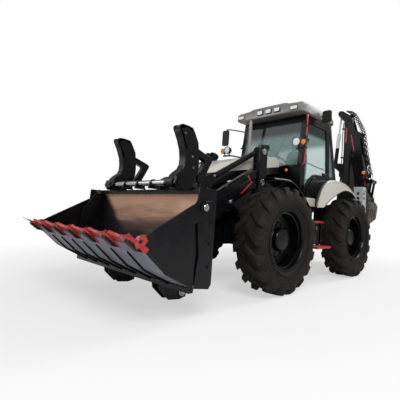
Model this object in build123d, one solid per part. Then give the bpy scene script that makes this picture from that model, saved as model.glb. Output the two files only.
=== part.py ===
from build123d import *
import os

# Backhoe loader with four equal steered wheels, a clam bucket with two fold-over forks in front,
# and a swinging digging arm behind. Millimetres, X forward, Y left, Z up.
# Everything is drawn from the front axle's centre line on the ground, and save() moves it so that
# the origin is on the ground under the middle of the machine.

FRONT_AXLE_X = 695
WHEELBASE = 2217
REAR = -WHEELBASE

# wheels
TYRE_R = 708
TYRE_W = 432
BEAD_R = 380
WHEEL_Y = 942
KINGPIN_Y = 700
RIM_FLANGE_R = 404
DISC_IN = 40
DISC_T = 22
HUB_CAP_R = 105
STUB_R = 40
KINGPIN_R = 25
AXLE_TUBE_R = 75
SEAT_GAP = 0.3
RUN = 0.05

# frame and cab
RAIL_Y0 = 300
RAIL_Y1 = 345
SADDLE_Z = 880
TOW_X = 915
TOW_R = 20
HOOD_Y = 385
HOOD_T = 8
HOOD_HINGE = (-720, 1982)
HINGE_R = 10
CAB_Y = 700
CAB_WALL = 55
GLASS_T = 8
DOOR_GAP = 6
SILL_X1 = -975
SILL_Y = 790
SILL_Z0 = 1215
SILL_Z1 = 1350
DOOR_HINGE_X = -985
DOOR_HINGE_Z = (1500, 2320)

# loader planes, each as far from the middle of the machine as its name says
RAM_Y0 = 397
RAM_Y1 = 477
EYE_Y0 = 417
EYE_Y1 = 457
PLATE_T = 18
LEVER_T = 15
ARM_Y0 = 507
ARM_Y1 = 583
INNER_Y0 = 482
OUTER_Y0 = 590
PIN_R = 30
RAM_R = 38
ROD_R = 22

# loader pivots, as (x, z)
ARM_PIVOT = (-10, 1500)
TILT_TOP = (-20, 1955)
LIFT_BASE = (-300, 800)
LIFT_EYE = (600, 1170)
LEVER_PIVOT = (980, 900)
LEVER_EYE = (850, 1455)
LINK_EYE = (985, 1405)
NOSE = (1300, 145)
ARM_TUBE = (1105, 730)
ARM_TUBE_R = 60
BUCKET_EYE = (1330, 660)
CLAM_PIVOT = (1580, 1060)
FORK_SHAFT = (1580, 1315)
FORK_Y0 = 615
FORK_W = 120
FORK_SHAFT_R = 32
SIDE_Y = 1165
SIDE_T = 20

# digging arm pivots, as (distance from the swing axis, height)
SWING_X = -3560
BOOM_BASE = (240, 900)
BOOM_TIP = (360, 3420)
BOOM_RAM_BASE = (95, 1180)
BOOM_RAM_EYE = (180, 2100)
DIPPER_RAM_BASE = (20, 2300)
DIPPER_RAM_EYE = (160, 3600)
DIPPER_END = (800, 1660)
CURL_RAM_BASE = (634, 3024)
CURL_LEVER = (725, 1965)
CURL_EYE = (937, 1908)
CURL_LINK = (877, 1526)
BOOM_HALF = 80
DIGGER_HALF = 250

# rear frame
FRAME_X0 = -3200
FRAME_X1 = -3080
LEG_X0 = -3240
LEG_X1 = -3060
LEG_Y0 = 710
LEG_Y1 = 910


def slab_y(points, y0, y1, grow=0):
    """A side outline of (x, z) points, as thick as from y0 to y1, all round larger by grow."""
    face = make_face(Polyline(*[(x, y0, z) for x, z in points], close=True))
    if grow:
        face = offset(face, amount=grow, kind=Kind.INTERSECTION)
    return extrude(face, amount=y1 - y0, dir=(0, 1, 0))


def slab_x(points, x0, x1):
    """An outline of (y, z) points seen from the front, as thick as from x0 to x1."""
    face = make_face(Polyline(*[(x0, y, z) for y, z in points], close=True))
    return extrude(face, amount=x1 - x0, dir=(1, 0, 0))


def block(x0, x1, y0, y1, z0, z1):
    return Pos((x0 + x1) / 2, (y0 + y1) / 2, (z0 + z1) / 2) * Box(x1 - x0, y1 - y0, z1 - z0)


def rod(a, b, radius):
    """A round bar from point a to point b."""
    a, b = Vector(a), Vector(b)
    return Solid.make_cylinder(radius, (b - a).length, Plane(origin=a, z_dir=b - a))


def pin_y(at, radius, y0, y1):
    """A pin across the machine at (x, z)."""
    return rod((at[0], y0, at[1]), (at[0], y1, at[1]), radius)


def pin_x(at, radius, x0, x1):
    """A pin along the machine at (y, z)."""
    return rod((x0, at[0], at[1]), (x1, at[0], at[1]), radius)


def both(shape):
    """The shape and its mirror image on the other side of the machine."""
    return Compound(children=[*shape.solids(), *mirror(shape, about=Plane.XZ).solids()])


def save(name, *shapes):
    """Writes one sub-part, moved to the frame whose origin is under the machine's middle."""
    solids = [solid for shape in shapes for solid in shape.solids()]
    place = Location((FRONT_AXLE_X, 0, 0))
    if len(solids) == 1:
        moved = solids[0].moved(place)
    else:
        moved = Compound(children=[solid.moved(place) for solid in solids])
    moved.label = name
    export_step(moved, f"parts/{name}.step")


def along(a, b, share):
    """The point at a share of the way from a to b."""
    return tuple(p + (q - p) * share for p, q in zip(a, b))


def revolve_y(points, x, y, z):
    """A ring turned about the line through (x, z) that runs across the machine; points are (y, radius)."""
    face = make_face(Polyline(*[(x, y + dy, z + r) for dy, r in points], close=True))
    return revolve(face, axis=Axis((x, y, z), (0, 1, 0)))


# Wheels: a tyre and a dished rim, both turned about the wheel's centre
def tyre(x, y):
    half = TYRE_W / 2
    side = [(0.741, BEAD_R), (0.741, RIM_FLANGE_R + 2), (0.83, 415), (0.97, 480), (1.0, 560), (0.95, 640),
            (0.8, 690), (0.55, TYRE_R)]
    left = [(share * half, r) for share, r in side]
    right = [(-share * half, r) for share, r in reversed(side)]
    return revolve_y(left + right, x, y, TYRE_R)


def rim(x, y, out):
    half = TYRE_W / 2 * 0.741
    wall = BEAD_R - SEAT_GAP
    ring = [(half, wall), (half, RIM_FLANGE_R), (half + 12, RIM_FLANGE_R), (half + 12, 362),
            (-half - 12, 362), (-half - 12, RIM_FLANGE_R), (-half, RIM_FLANGE_R), (-half, wall)]
    ring = [(dy + (SEAT_GAP if abs(dy) > 0 and dy > 0 else -SEAT_GAP), r) for dy, r in ring]
    barrel = revolve_y(ring, x, y, TYRE_R)
    inner = y - out * DISC_IN
    outer = inner + out * DISC_T
    disc = rod((x, inner, TYRE_R), (x, outer, TYRE_R), 365)
    cap = rod((x, outer, TYRE_R), (x, outer + out * 85, TYRE_R), HUB_CAP_R)
    bore = rod((x, inner - out * 5, TYRE_R), (x, inner + out * 62, TYRE_R), STUB_R + RUN)
    return barrel + disc + cap - bore


def knuckle(x, out):
    hub = rod((x, out * (KINGPIN_Y + 75), TYRE_R), (x, out * (WHEEL_Y - DISC_IN - SEAT_GAP), TYRE_R), 140)
    neck = rod((x, out * KINGPIN_Y, TYRE_R), (x, out * (KINGPIN_Y + 80), TYRE_R), 70)
    post = rod((x, out * KINGPIN_Y, TYRE_R - 95), (x, out * KINGPIN_Y, TYRE_R + 95), 55)
    stub = rod((x, out * (WHEEL_Y - DISC_IN - 5), TYRE_R), (x, out * (WHEEL_Y - DISC_IN + 60), TYRE_R), STUB_R)
    return hub + neck + post + stub - rod((x, out * KINGPIN_Y, 400), (x, out * KINGPIN_Y, 1000), KINGPIN_R + RUN)


def axle(x):
    beam = rod((x, -KINGPIN_Y + 120, TYRE_R), (x, KINGPIN_Y - 120, TYRE_R), AXLE_TUBE_R)
    bowl = rod((x, -110, TYRE_R), (x, 110, TYRE_R), 150)
    made = beam + bowl + block(x - 60, x + 60, -90, 90, TYRE_R, SADDLE_Z)
    for out in (-1, 1):
        y0, y1 = sorted((out * (KINGPIN_Y - 150), out * (KINGPIN_Y - 90)))
        made += block(x - 60, x + 60, y0, y1, TYRE_R - 135, TYRE_R + 135)
        for z in (TYRE_R - 135, TYRE_R + 96):
            y0, y1 = sorted((out * (KINGPIN_Y - 150), out * KINGPIN_Y))
            made += block(x - 60, x + 60, y0, y1, z, z + 39)
            made += rod((x, out * KINGPIN_Y, z), (x, out * KINGPIN_Y, z + 39), 60)
        made += rod((x, out * KINGPIN_Y, TYRE_R - 130), (x, out * KINGPIN_Y, TYRE_R + 130), KINGPIN_R)
    return made


def wheels():
    for end, x in (("front", 0), ("rear", REAR)):
        for side, out in (("left", 1), ("right", -1)):
            save(f"tyre_{end}_{side}", tyre(x, out * WHEEL_Y))
            save(f"rim_{end}_{side}", rim(x, out * WHEEL_Y, out))
            save(f"knuckle_{end}_{side}", knuckle(x, out))
    save("axles", axle(0), axle(REAR))


# Frame: two deep rails that arch over the axles, with the loader's towers and the nose
def frame():
    rail = [(820, 600), (250, 600), (190, 800), (-190, 800), (-250, 560), (REAR + 250, 560),
            (REAR + 190, 800), (REAR - 190, 800), (REAR - 250, 640), (FRAME_X1, 560),
            (FRAME_X1, 1280), (REAR - 300, 1280), (REAR - 200, 1000), (REAR + 400, 1000), (-500, 1000),
            (-400, 1050), (820, 1050)]
    side = slab_y(rail, RAIL_Y0, RAIL_Y1)
    side += block(-340, -260, RAIL_Y1, RAM_Y0 - 5, 740, 860) + pin_y(LIFT_BASE, PIN_R, RAIL_Y1 - 5, RAM_Y1)
    for x in (-960, -1440):
        side += block(x, x + 60, RAIL_Y0, RAIL_Y1, 990, 1150)
    save("frame_rails", both(side))
    beams = [block(x - 20, x + 20, -RAIL_Y0, RAIL_Y0, 820, 980) for x in (780, 300, -700, -1500, REAR + 260, REAR - 600)]
    beams += [block(x - 90, x + 90, -RAIL_Y0, RAIL_Y0, SADDLE_Z, SADDLE_Z + 50) for x in (0, REAR)]
    nose = block(820, 860, -RAIL_Y1, RAIL_Y1, 600, 1300) + block(850, 965, -60, 60, 660, 690)
    save("frame_beams", *beams, nose - rod((TOW_X, 0, 600), (TOW_X, 0, 700), TOW_R))


def towers():
    """Two plates on each side carry the loader arm between them, on a box that stands against the rail."""
    outline = [(-140, 850), (130, 850), (75, 1300), (75, 1990), (30, 2030), (-60, 2030), (-100, 1980), (-100, 1300)]
    made = slab_y(outline, INNER_Y0, INNER_Y0 + PLATE_T) + slab_y(outline, OUTER_Y0, OUTER_Y0 + PLATE_T)
    made += block(-140, 130, INNER_Y0, OUTER_Y0 + PLATE_T, 850, 1180) + block(20, 130, RAIL_Y1, INNER_Y0 + 5, 800, 870)
    made += pin_y(ARM_PIVOT, PIN_R, INNER_Y0, OUTER_Y0 + 26)
    made += pin_y(TILT_TOP, PIN_R, RAM_Y0, INNER_Y0 + PLATE_T) + pin_y(TILT_TOP, PIN_R, OUTER_Y0, OUTER_Y0 + 26)
    save("loader_towers", both(made))


def front_fenders():
    line = [(60, 1560), (-350, 1570), (-620, 1440), (-960, 1200), (-930, 1180), (-600, 1412), (-345, 1545), (60, 1535)]
    plate = slab_y(line, RAIL_Y1 + 30, 890)
    plate -= block(-200, 100, RAIL_Y1, 640, 1500, 1600) + block(-1000, -860, 0, CAB_Y, 1000, 1600)
    web = slab_y([(-350, 1560), (-620, 1430), (-860, 1265), (-860, 1560)], RAIL_Y1 + 30, RAIL_Y1 + 50)
    web += block(-560, -520, RAIL_Y1 - 45, RAIL_Y1 + 50, 1045, 1065) + block(-560, -520, RAIL_Y1 + 30, RAIL_Y1 + 50, 1045, 1480)
    save("front_fenders", both(plate + web))


# The hood's cross sections from the cab forward, as (x, top, lower edge)
HOOD_STATIONS = ((-720, 2010, 1730), (-300, 1965, 1654), (200, 1835, 1550), (600, 1690, 1427), (850, 1565, 1335))
HOOD_CHAMFER = 70


def hood_section(x, half, top, low, corner):
    """One cross section with sloped upper corners."""
    outline = [(-half, low), (-half, top - corner), (corner - half, top), (half - corner, top), (half, top - corner), (half, low)]
    return make_face(Polyline(*[(x, y, z) for y, z in outline], close=True))


def hood():
    outer = loft([hood_section(x, HOOD_Y, top, low, HOOD_CHAMFER) for x, top, low in HOOD_STATIONS], ruled=True)
    inside = [(x, top - HOOD_T, low - 60) for x, top, low in HOOD_STATIONS]
    inside[0] = (-730, inside[0][1] + 1, inside[0][2])
    inside[-1] = (842, inside[-1][1] + 4, inside[-1][2])
    core = loft([hood_section(x, HOOD_Y - HOOD_T, top, low, HOOD_CHAMFER - 3) for x, top, low in inside], ruled=True)
    made = outer - core
    made += rod((-400, 290, 1920), (-400, 290, 2080), 60) + rod((-400, 290, 2080), (-400, 290, 2150), 95)
    for out in (-1, 1):
        made += block(-745, -700, *sorted((out * 200, out * 222)), 1962, 2004)
    save("hood", made - pin_y(HOOD_HINGE, HINGE_R + RUN, -300, 300))


def nose():
    grille = block(860, 880, -330, 330, 720, 1300)
    for z in range(760, 1250, 70):
        grille -= block(850, 890, -290, 290, z, z + 40)
    save("nose_grille", grille)


def engine():
    save("engine", block(-480, 560, -240, 240, 980, 1480))


CAB_SIDE = [(-870, 1150), (-900, 1860), (-1010, 2790), (-1930, 2830), (-2210, 1750), (-2190, 1520),
            (-1640, 1520), (-1480, 1150)]
DOOR_SIDE = [(-975, 1385), (-990, 1860), (-1070, 2700), (-1800, 2720), (-1860, 1760), (-1420, 1745),
             (-1330, 1720), (-1230, 1650), (-1130, 1540), (-1060, 1385)]
DOOR_GLASS = [(-1050, 1700), (-1060, 1860), (-1130, 2640), (-1740, 2655), (-1795, 1815), (-1400, 1800),
              (-1280, 1765), (-1180, 1700)]
DOOR_LEAF = [(-975, 1385), (-990, 1860), (-1070, 2700), (-1800, 2720), (-1860, 1760), (-1420, 1745),
             (-1325, 1725), (-1217, 1657), (-1111, 1547), (-1032, 1392)]
REAR_SIDE_GLASS = [(-1905, 1800), (-1850, 2700), (-1900, 2700), (-2130, 1800)]
FRONT_WINDOW = (620, 1900, 2730)
REAR_WINDOW = (600, 1820, 2700)


def cab():
    inner = [(-935, 1210), (-960, 1860), (-1065, 2740), (-1890, 2775), (-2145, 1760), (-2130, 1580),
             (-1600, 1580), (-1440, 1210)]
    shell = slab_y(CAB_SIDE, -CAB_Y, CAB_Y) - slab_y(inner, CAB_WALL - CAB_Y, CAB_Y - CAB_WALL)
    shell -= slab_y(DOOR_SIDE, -CAB_Y - 1, CAB_Y + 1, DOOR_GAP)
    shell -= slab_y(REAR_SIDE_GLASS, -CAB_Y - 1, CAB_Y + 1)
    y, z0, z1 = FRONT_WINDOW
    shell -= block(-1200, -800, -y, y, z0, z1)
    y, z0, z1 = REAR_WINDOW
    shell -= block(-2300, -1850, -y, y, z0, z1)
    for out in (-1, 1):
        shell += slab_y([(-905, 1900), (-900, 1860), (-705, 1970), (-705, 1995)], *sorted((out * 228, out * 248)))
        shell += pin_y(HOOD_HINGE, HINGE_R, *sorted((out * 196, out * 248)))
        for z in DOOR_HINGE_Z:
            shell += block(-965, -940, *sorted((out * (CAB_Y - 2), out * (CAB_Y + 35))), z - 20, z)
            shell += block(-995, -960, *sorted((out * (CAB_Y + 10), out * (CAB_Y + 35))), z - 20, z)
            shell += rod((DOOR_HINGE_X, out * (CAB_Y + 20), z - 20), (DOOR_HINGE_X, out * (CAB_Y + 20), z + 60), HINGE_R)
        shell += block(-1240, SILL_X1, *sorted((out * (CAB_Y - 2), out * SILL_Y)), SILL_Z0, SILL_Z1)
    save("cab_frame", shell)
    windscreen = slab_y([(-910, 1900), (-1006, 2730), (-1006 - GLASS_T, 2730), (-910 - GLASS_T, 1900)], -620, 620)
    rear = slab_y([(-2187, 1820), (-1960, 2700), (-1960 + GLASS_T, 2700), (-2187 + GLASS_T, 1820)], -600, 600)
    quarter = slab_y(REAR_SIDE_GLASS, CAB_Y - 30, CAB_Y - 30 + GLASS_T)
    save("cab_glass", windscreen, rear, both(quarter))
    for side, out in (("left", 1), ("right", -1)):
        y0, y1 = sorted((out * (CAB_Y - CAB_WALL + 5), out * CAB_Y))
        leaf = slab_y(DOOR_LEAF, y0, y1) - slab_y(DOOR_GLASS, y0 - 1, y1 + 1)
        y0, y1 = sorted((out * (CAB_Y - 30), out * (CAB_Y - 30 + GLASS_T)))
        for z in DOOR_HINGE_Z:
            leaf += block(-1090, -1045, *sorted((out * (CAB_Y - 5), out * (CAB_Y + 30))), z + 2, z + 50)
            leaf += block(-1060, DOOR_HINGE_X, *sorted((out * (CAB_Y + 10), out * (CAB_Y + 30))), z + 2, z + 50)
            leaf += rod((DOOR_HINGE_X, out * (CAB_Y + 20), z + 2), (DOOR_HINGE_X, out * (CAB_Y + 20), z + 50), 15)
        leaf -= rod((DOOR_HINGE_X, out * (CAB_Y + 20), 1300), (DOOR_HINGE_X, out * (CAB_Y + 20), 2800), HINGE_R + RUN)
        save(f"door_{side}", leaf, slab_y(DOOR_GLASS, y0, y1))


def roof():
    side = [(-790, 2790), (-765, 2895), (-825, 2985), (-1500, 3025), (-1960, 3005), (-2080, 2920), (-2060, 2836),
            (-1930, 2830), (-1010, 2790)]
    top = slab_y(side, -745, 745)
    rims = [e for e in top.edges() if abs(abs(e.center().Y) - 745) < 1 and e.center().Z > 2870]
    save("cab_roof", fillet(rims, 40))


def interior():
    seat = block(-1800, -1350, -250, 250, 1650, 1760) + block(-1880, -1760, -240, 240, 1700, 2350)
    stand = block(-1860, -1610, -180, 180, 1580, 1650)
    dash = block(-1090, -990, -260, 260, 1210, 1900)
    console = block(-1900, -1200, -620, -360, 1620, 1950) + block(-1430, -1200, -620, -360, 1210, 1630)
    wheel = rod((-1090, 0, 1850), (-1190, 0, 2010), 25)
    ring = Plane(origin=(-1190, 0, 2010), z_dir=(-100, 0, 160)) * Torus(190, 16)
    spoke = Plane(origin=(-1190, 0, 2010), z_dir=(-100, 0, 160)) * Box(30, 380, 14)
    save("cab_interior", seat + stand, dash + wheel + ring + spoke, console)


# The rear fender's outline along its outer and its inner edge, as (x, height)
FENDER_OUTER = ((-1030, 1206), (-1080, 1350), (-1170, 1500), (-1300, 1615), (-1450, 1680), (-1750, 1710), (-2100, 1680),
                (-2350, 1600), (-2600, 1480), (-2560, 1450), (-2330, 1545), (-2060, 1560), (-1800, 1490),
                (-1600, 1410), (-1400, 1310), (-1250, 1206))
FENDER_INNER = ((-1400, 1235), (-1450, 1380), (-1570, 1550), (-1700, 1650), (-1860, 1728), (-2000, 1745), (-2200, 1715),
                (-2400, 1625), (-2600, 1490), (-2560, 1450), (-2330, 1545), (-2060, 1560), (-1900, 1500),
                (-1750, 1420), (-1650, 1330), (-1560, 1235))
FENDER_Y = 970


def rear_fenders():
    edges = [make_face(Polyline(*[(x, y, z) for x, z in line], close=True))
             for y, line in ((CAB_Y, FENDER_INNER), (FENDER_Y, FENDER_OUTER))]
    save("rear_fenders", both(loft(edges, ruled=True)))


def steps():
    box = block(-1360, -930, RAIL_Y1 + 2, 880, 595, 940)
    upper = block(-1360, -930, 640, 920, 941, 975)
    lower = block(-1360, -900, 800, 1060, 545, 585)
    hanger = block(-1350, -1330, 780, 830, 545, 600) + block(-950, -930, 780, 830, 545, 600)
    save("step_boxes", both(box + upper + lower + hanger + block(-1300, -1000, 640, 660, 940, 1149.7)))


def rear_frame():
    made = block(FRAME_X0, FRAME_X1, -LEG_Y0, LEG_Y0, 560, 680) + block(FRAME_X0, FRAME_X1, -LEG_Y0, LEG_Y0, 1160, 1280)
    made += both(block(FRAME_X0 + 20, FRAME_X1, 420, 480, 670, 1170))
    save("rear_frame", made)
    tube = block(LEG_X0, LEG_X1, LEG_Y0 + 0.3, LEG_Y1, 420, 1740)
    tube -= block(LEG_X0 + 20, LEG_X1 - 20, LEG_Y0 + 20, LEG_Y1 - 20, 400, 1720)
    save("stabilizer_housings", both(tube))
    for side, out in (("left", 1), ("right", -1)):
        y0, y1 = sorted((out * (LEG_Y0 + 20 + SEAT_GAP), out * (LEG_Y1 - 20 - SEAT_GAP)))
        leg = block(LEG_X0 + 20 + SEAT_GAP, LEG_X1 - 20 - SEAT_GAP, y0, y1, 360, 1600)
        y0, y1 = sorted((out * (LEG_Y0 - 40), out * (LEG_Y1 + 40)))
        save(f"stabilizer_leg_{side}", leg + block(LEG_X0 - 40, LEG_X1 + 40, y0, y1, 330, 365))


def exhaust():
    stack = rod((-795, -370, 1870), (-795, -370, 2780), 28) + rod((-795, -370, 2640), (-795, -370, 2660), 36)
    foot = slab_y([(-887.5, 1571), (-899.8, 1860), (-902, 1880), (-740, 1880), (-740, 1571)], -420, -320)
    save("exhaust", stack + foot)


def lamps():
    """A white and an amber lamp on a shelf ahead of each front pillar; the left mirror hangs from the roof."""
    made = rod((-700, 775, 2215), (-600, 775, 2215), 76) + rod((-690, 897, 2205), (-615, 897, 2205), 54)
    made += block(-700, -655, 740, 930, 2110, 2132)
    for y in (775, 897):
        made += rod((-677, y, 2125), (-677, y, 2170), 12)
    made += rod((-1000, 660, 2121), (-677, 760, 2121), 15)
    save("head_lamps", both(made - slab_y(CAB_SIDE, -CAB_Y, CAB_Y)))
    right = block(-720, -690, -1010, -850, 2330, 2640) + block(-1050, -1010, -CAB_Y - 20, -CAB_Y, 2630, 2670)
    right += rod((-1025, -712, 2650), (-705, -900, 2650), 12) + rod((-705, -900, 2650), (-705, -900, 2600), 12)
    left = block(-1470, -1440, 770, 950, 2740, 2960) + rod((-1455, 745, 2860), (-1455, 780, 2860), 14)
    save("mirrors", right, left)


# Loader
def ram(base, eye, y0, y1, share):
    """A cylinder's barrel and its rod along the line from base to eye; the barrel takes that share of it."""
    yc = (y0 + y1) / 2
    a, b = (base[0], yc, base[1]), (eye[0], yc, eye[1])
    barrel = rod(along(a, b, 0.02), along(a, b, share), RAM_R)
    barrel += pin_y(base, PIN_R + 18, y0 + 20, y1 - 20)
    bore = rod(along(a, b, 0.1), along(a, b, share + 0.01), ROD_R + RUN)
    barrel = barrel - bore - pin_y(base, PIN_R + RUN, y0 - 5, y1 + 5)
    return barrel, rod(along(a, b, 0.14), b, ROD_R) + pin_y(eye, PIN_R + 16, y0 + 22, y1 - 22)


def loader():
    side = [(-110, 1420), (-120, 1560), (-40, 1640), (170, 1655), (860, 1250), (1080, 1060), (1260, 620),
            (1370, 190), (1360, 90), (1270, 60), (1220, 120), (1080, 560), (900, 870), (560, 1150), (120, 1400)]
    arms = slab_y(side, ARM_Y0, ARM_Y1)
    for at in (ARM_PIVOT, NOSE):
        arms -= pin_y(at, PIN_R + RUN, ARM_Y0 - 1, ARM_Y1 + 1)
    arms += pin_y(LIFT_EYE, PIN_R, RAM_Y1 - 15, ARM_Y0 + 5) + pin_y(LEVER_PIVOT, PIN_R, RAM_Y0, ARM_Y0 + 5)
    arms = arms + mirror(arms, about=Plane.XZ) + rod((ARM_TUBE[0], -ARM_Y0 - 5, ARM_TUBE[1]), (ARM_TUBE[0], ARM_Y0 + 5, ARM_TUBE[1]), ARM_TUBE_R)
    save("loader_arms", arms)
    for name, base, eye, share in (("lift", LIFT_BASE, LIFT_EYE, 0.86), ("tilt", TILT_TOP, LEVER_EYE, 0.9)):
        barrel, piston = ram(base, eye, RAM_Y0, RAM_Y1, share)
        save(f"{name}_barrels", both(barrel))
        save(f"{name}_rods", both(piston))
    lever = [(930, 850), (1035, 850), (1040, 950), (1035, 1420), (985, 1455), (905, 1500), (850, 1505),
             (808, 1475), (808, 1425), (860, 1320)]
    plates = slab_y(lever, RAM_Y0, RAM_Y0 + LEVER_T) + slab_y(lever, RAM_Y1 - LEVER_T, RAM_Y1)
    plates += pin_y(LEVER_PIVOT, PIN_R + 20, RAM_Y0, RAM_Y1) + pin_y(LINK_EYE, PIN_R, RAM_Y0, RAM_Y1)
    save("tilt_levers", both(plates - pin_y(LEVER_PIVOT, PIN_R + RUN, RAM_Y0 - 5, RAM_Y1 + 5)))
    ym = (EYE_Y0 + EYE_Y1) / 2
    link = rod((LINK_EYE[0], ym, LINK_EYE[1]), (BUCKET_EYE[0], ym, BUCKET_EYE[1]), 18)
    for at in (LINK_EYE, BUCKET_EYE):
        link += pin_y(at, PIN_R + 16, EYE_Y0 + 4, EYE_Y1 - 4)
    save("tilt_links", both(link - pin_y(LINK_EYE, PIN_R + RUN, EYE_Y0, EYE_Y1)))


def bucket():
    blade = [(1420, 1240), (1445, 1240), (1445, 345), (1640, 345), (1640, 318), (1450, 290), (1420, 330)]
    side = [(1420, 330), (1420, 1240), (1520, 1250), (1640, 1250), (1650, 980), (1600, 620), (1635, 320), (1450, 290)]
    made = slab_y(blade, -SIDE_Y - SIDE_T, SIDE_Y + SIDE_T)
    made += slab_y(side, SIDE_Y, SIDE_Y + SIDE_T) + slab_y(side, -SIDE_Y - SIDE_T, -SIDE_Y)
    made += block(1420, 1500, -SIDE_Y, SIDE_Y, 1200, 1250)
    hanger = [(1430, 300), (1430, 760), (1330, 740), (1280, 690), (1300, 420), (1225, 180), (1250, 80), (1330, 60),
              (1470, 75), (1600, 200), (1630, 322)]
    upper = [(1430, 500), (1430, 760), (1330, 740), (1280, 690), (1290, 600), (1400, 500)]
    for out in (-1, 1):
        for y, shape in ((EYE_Y0 - 22 - PLATE_T, upper), (INNER_Y0, hanger), (OUTER_Y0, hanger)):
            made += slab_y(shape, *sorted((out * y, out * (y + PLATE_T))))
        made += pin_y(NOSE, PIN_R, *sorted((out * (INNER_Y0 - 8), out * (OUTER_Y0 + PLATE_T + 8))))
        made += pin_y(CLAM_PIVOT, 35, *sorted((out * (SIDE_Y + 2), out * (SIDE_Y + 2 * SIDE_T + 20))))
        for y in (FORK_Y0 - 45, FORK_Y0 + FORK_W + 15):
            ear = [(1430, 1245), (1430, 1290), (1540, 1370), (1620, 1370), (1640, 1300), (1600, 1245)]
            made += slab_y(ear, *sorted((out * y, out * (y + 30))))
    made += rod((FORK_SHAFT[0], -790, FORK_SHAFT[1]), (FORK_SHAFT[0], 790, FORK_SHAFT[1]), FORK_SHAFT_R)
    save("bucket", made)
    floor = [(1662, 322), (1800, 390), (1980, 485), (2240, 730), (2225, 755), (1965, 518), (1790, 422), (1655, 352)]
    cheek = [(1500, 1130), (1640, 1115), (2190, 800), (2235, 735), (1980, 485), (1800, 390), (1662, 322), (1668, 600),
             (1700, 900), (1540, 990), (1490, 1050)]
    y0, y1 = SIDE_Y + SIDE_T + 6, SIDE_Y + 2 * SIDE_T + 6
    jaw = slab_y(floor, -y1, y1) + both(slab_y(cheek, y0, y1))
    count = 7
    for n in range(count):
        y = (n - (count - 1) / 2) * 2 * (y1 - 45) / (count - 1)
        tooth = [(2180, 690), (2225, 765), (2300, 800), (2420, 806), (2420, 798), (2330, 740), (2240, 690)]
        jaw += slab_y(tooth, y - 40, y + 40)
    for y in (-500, 0, 500):
        jaw += slab_y([(1662, 322), (1980, 485), (2180, 680), (2140, 610), (1980, 430), (1700, 290)], y - 10, y + 10)
    jaw -= both(pin_y(CLAM_PIVOT, 35 + RUN, y0 - 1, y1 + 1))
    save("clam", jaw)
    outer = [(1600, 1270), (1640, 1300), (1600, 1400), (1500, 1480), (1490, 1560), (1505, 1680), (1600, 1905),
             (1565, 1950), (1420, 1940), (1325, 1790), (1100, 1655), (1085, 1620), (1215, 1350), (1280, 1345),
             (1290, 1400), (1190, 1600), (1310, 1650), (1300, 1480), (1370, 1330), (1530, 1265)]
    for side, out in (("left", 1), ("right", -1)):
        y0, y1 = sorted((out * FORK_Y0, out * (FORK_Y0 + FORK_W)))
        fork = slab_y(outer, y0, y1) - pin_y(FORK_SHAFT, FORK_SHAFT_R + RUN, y0 - 1, y1 + 1)
        save(f"fork_{side}", fork)


# Digging arm, drawn with its arm towards the left, as it is parked
def arm_slab(points, x0, x1):
    """An outline of (reach, height) points, between two distances from the arm's middle plane."""
    return slab_x(points, SWING_X + x0, SWING_X + x1)


def arm_pin(at, radius, x0, x1):
    return pin_x(at, radius, SWING_X + x0, SWING_X + x1)


def strap(a, b, radius, x0, x1):
    """A flat bar with a round eye at each of its two points."""
    length = ((b[0] - a[0]) ** 2 + (b[1] - a[1]) ** 2) ** 0.5
    nx, nz = 0.6 * radius * (a[1] - b[1]) / length, 0.6 * radius * (b[0] - a[0]) / length
    bar = [(a[0] + nx, a[1] + nz), (b[0] + nx, b[1] + nz), (b[0] - nx, b[1] - nz), (a[0] - nx, a[1] - nz)]
    return arm_slab(bar, x0, x1) + arm_pin(a, radius, x0, x1) + arm_pin(b, radius, x0, x1)


def arm_ram(base, eye, share, start, radius):
    """One ram of the digging arm; its rod begins at that share of the length, so it can draw in."""
    a, b = (SWING_X, base[0], base[1]), (SWING_X, eye[0], eye[1])
    barrel = rod(along(a, b, 0.02), along(a, b, share), radius) + arm_pin(base, PIN_R + 16, -24, 24)
    barrel = barrel - rod(along(a, b, 0.1), along(a, b, share + 0.01), ROD_R + RUN)
    barrel -= arm_pin(base, PIN_R + RUN, -60, 60)
    return barrel, rod(along(a, b, start), b, ROD_R) + arm_pin(eye, PIN_R + 14, -22, 22)


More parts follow.
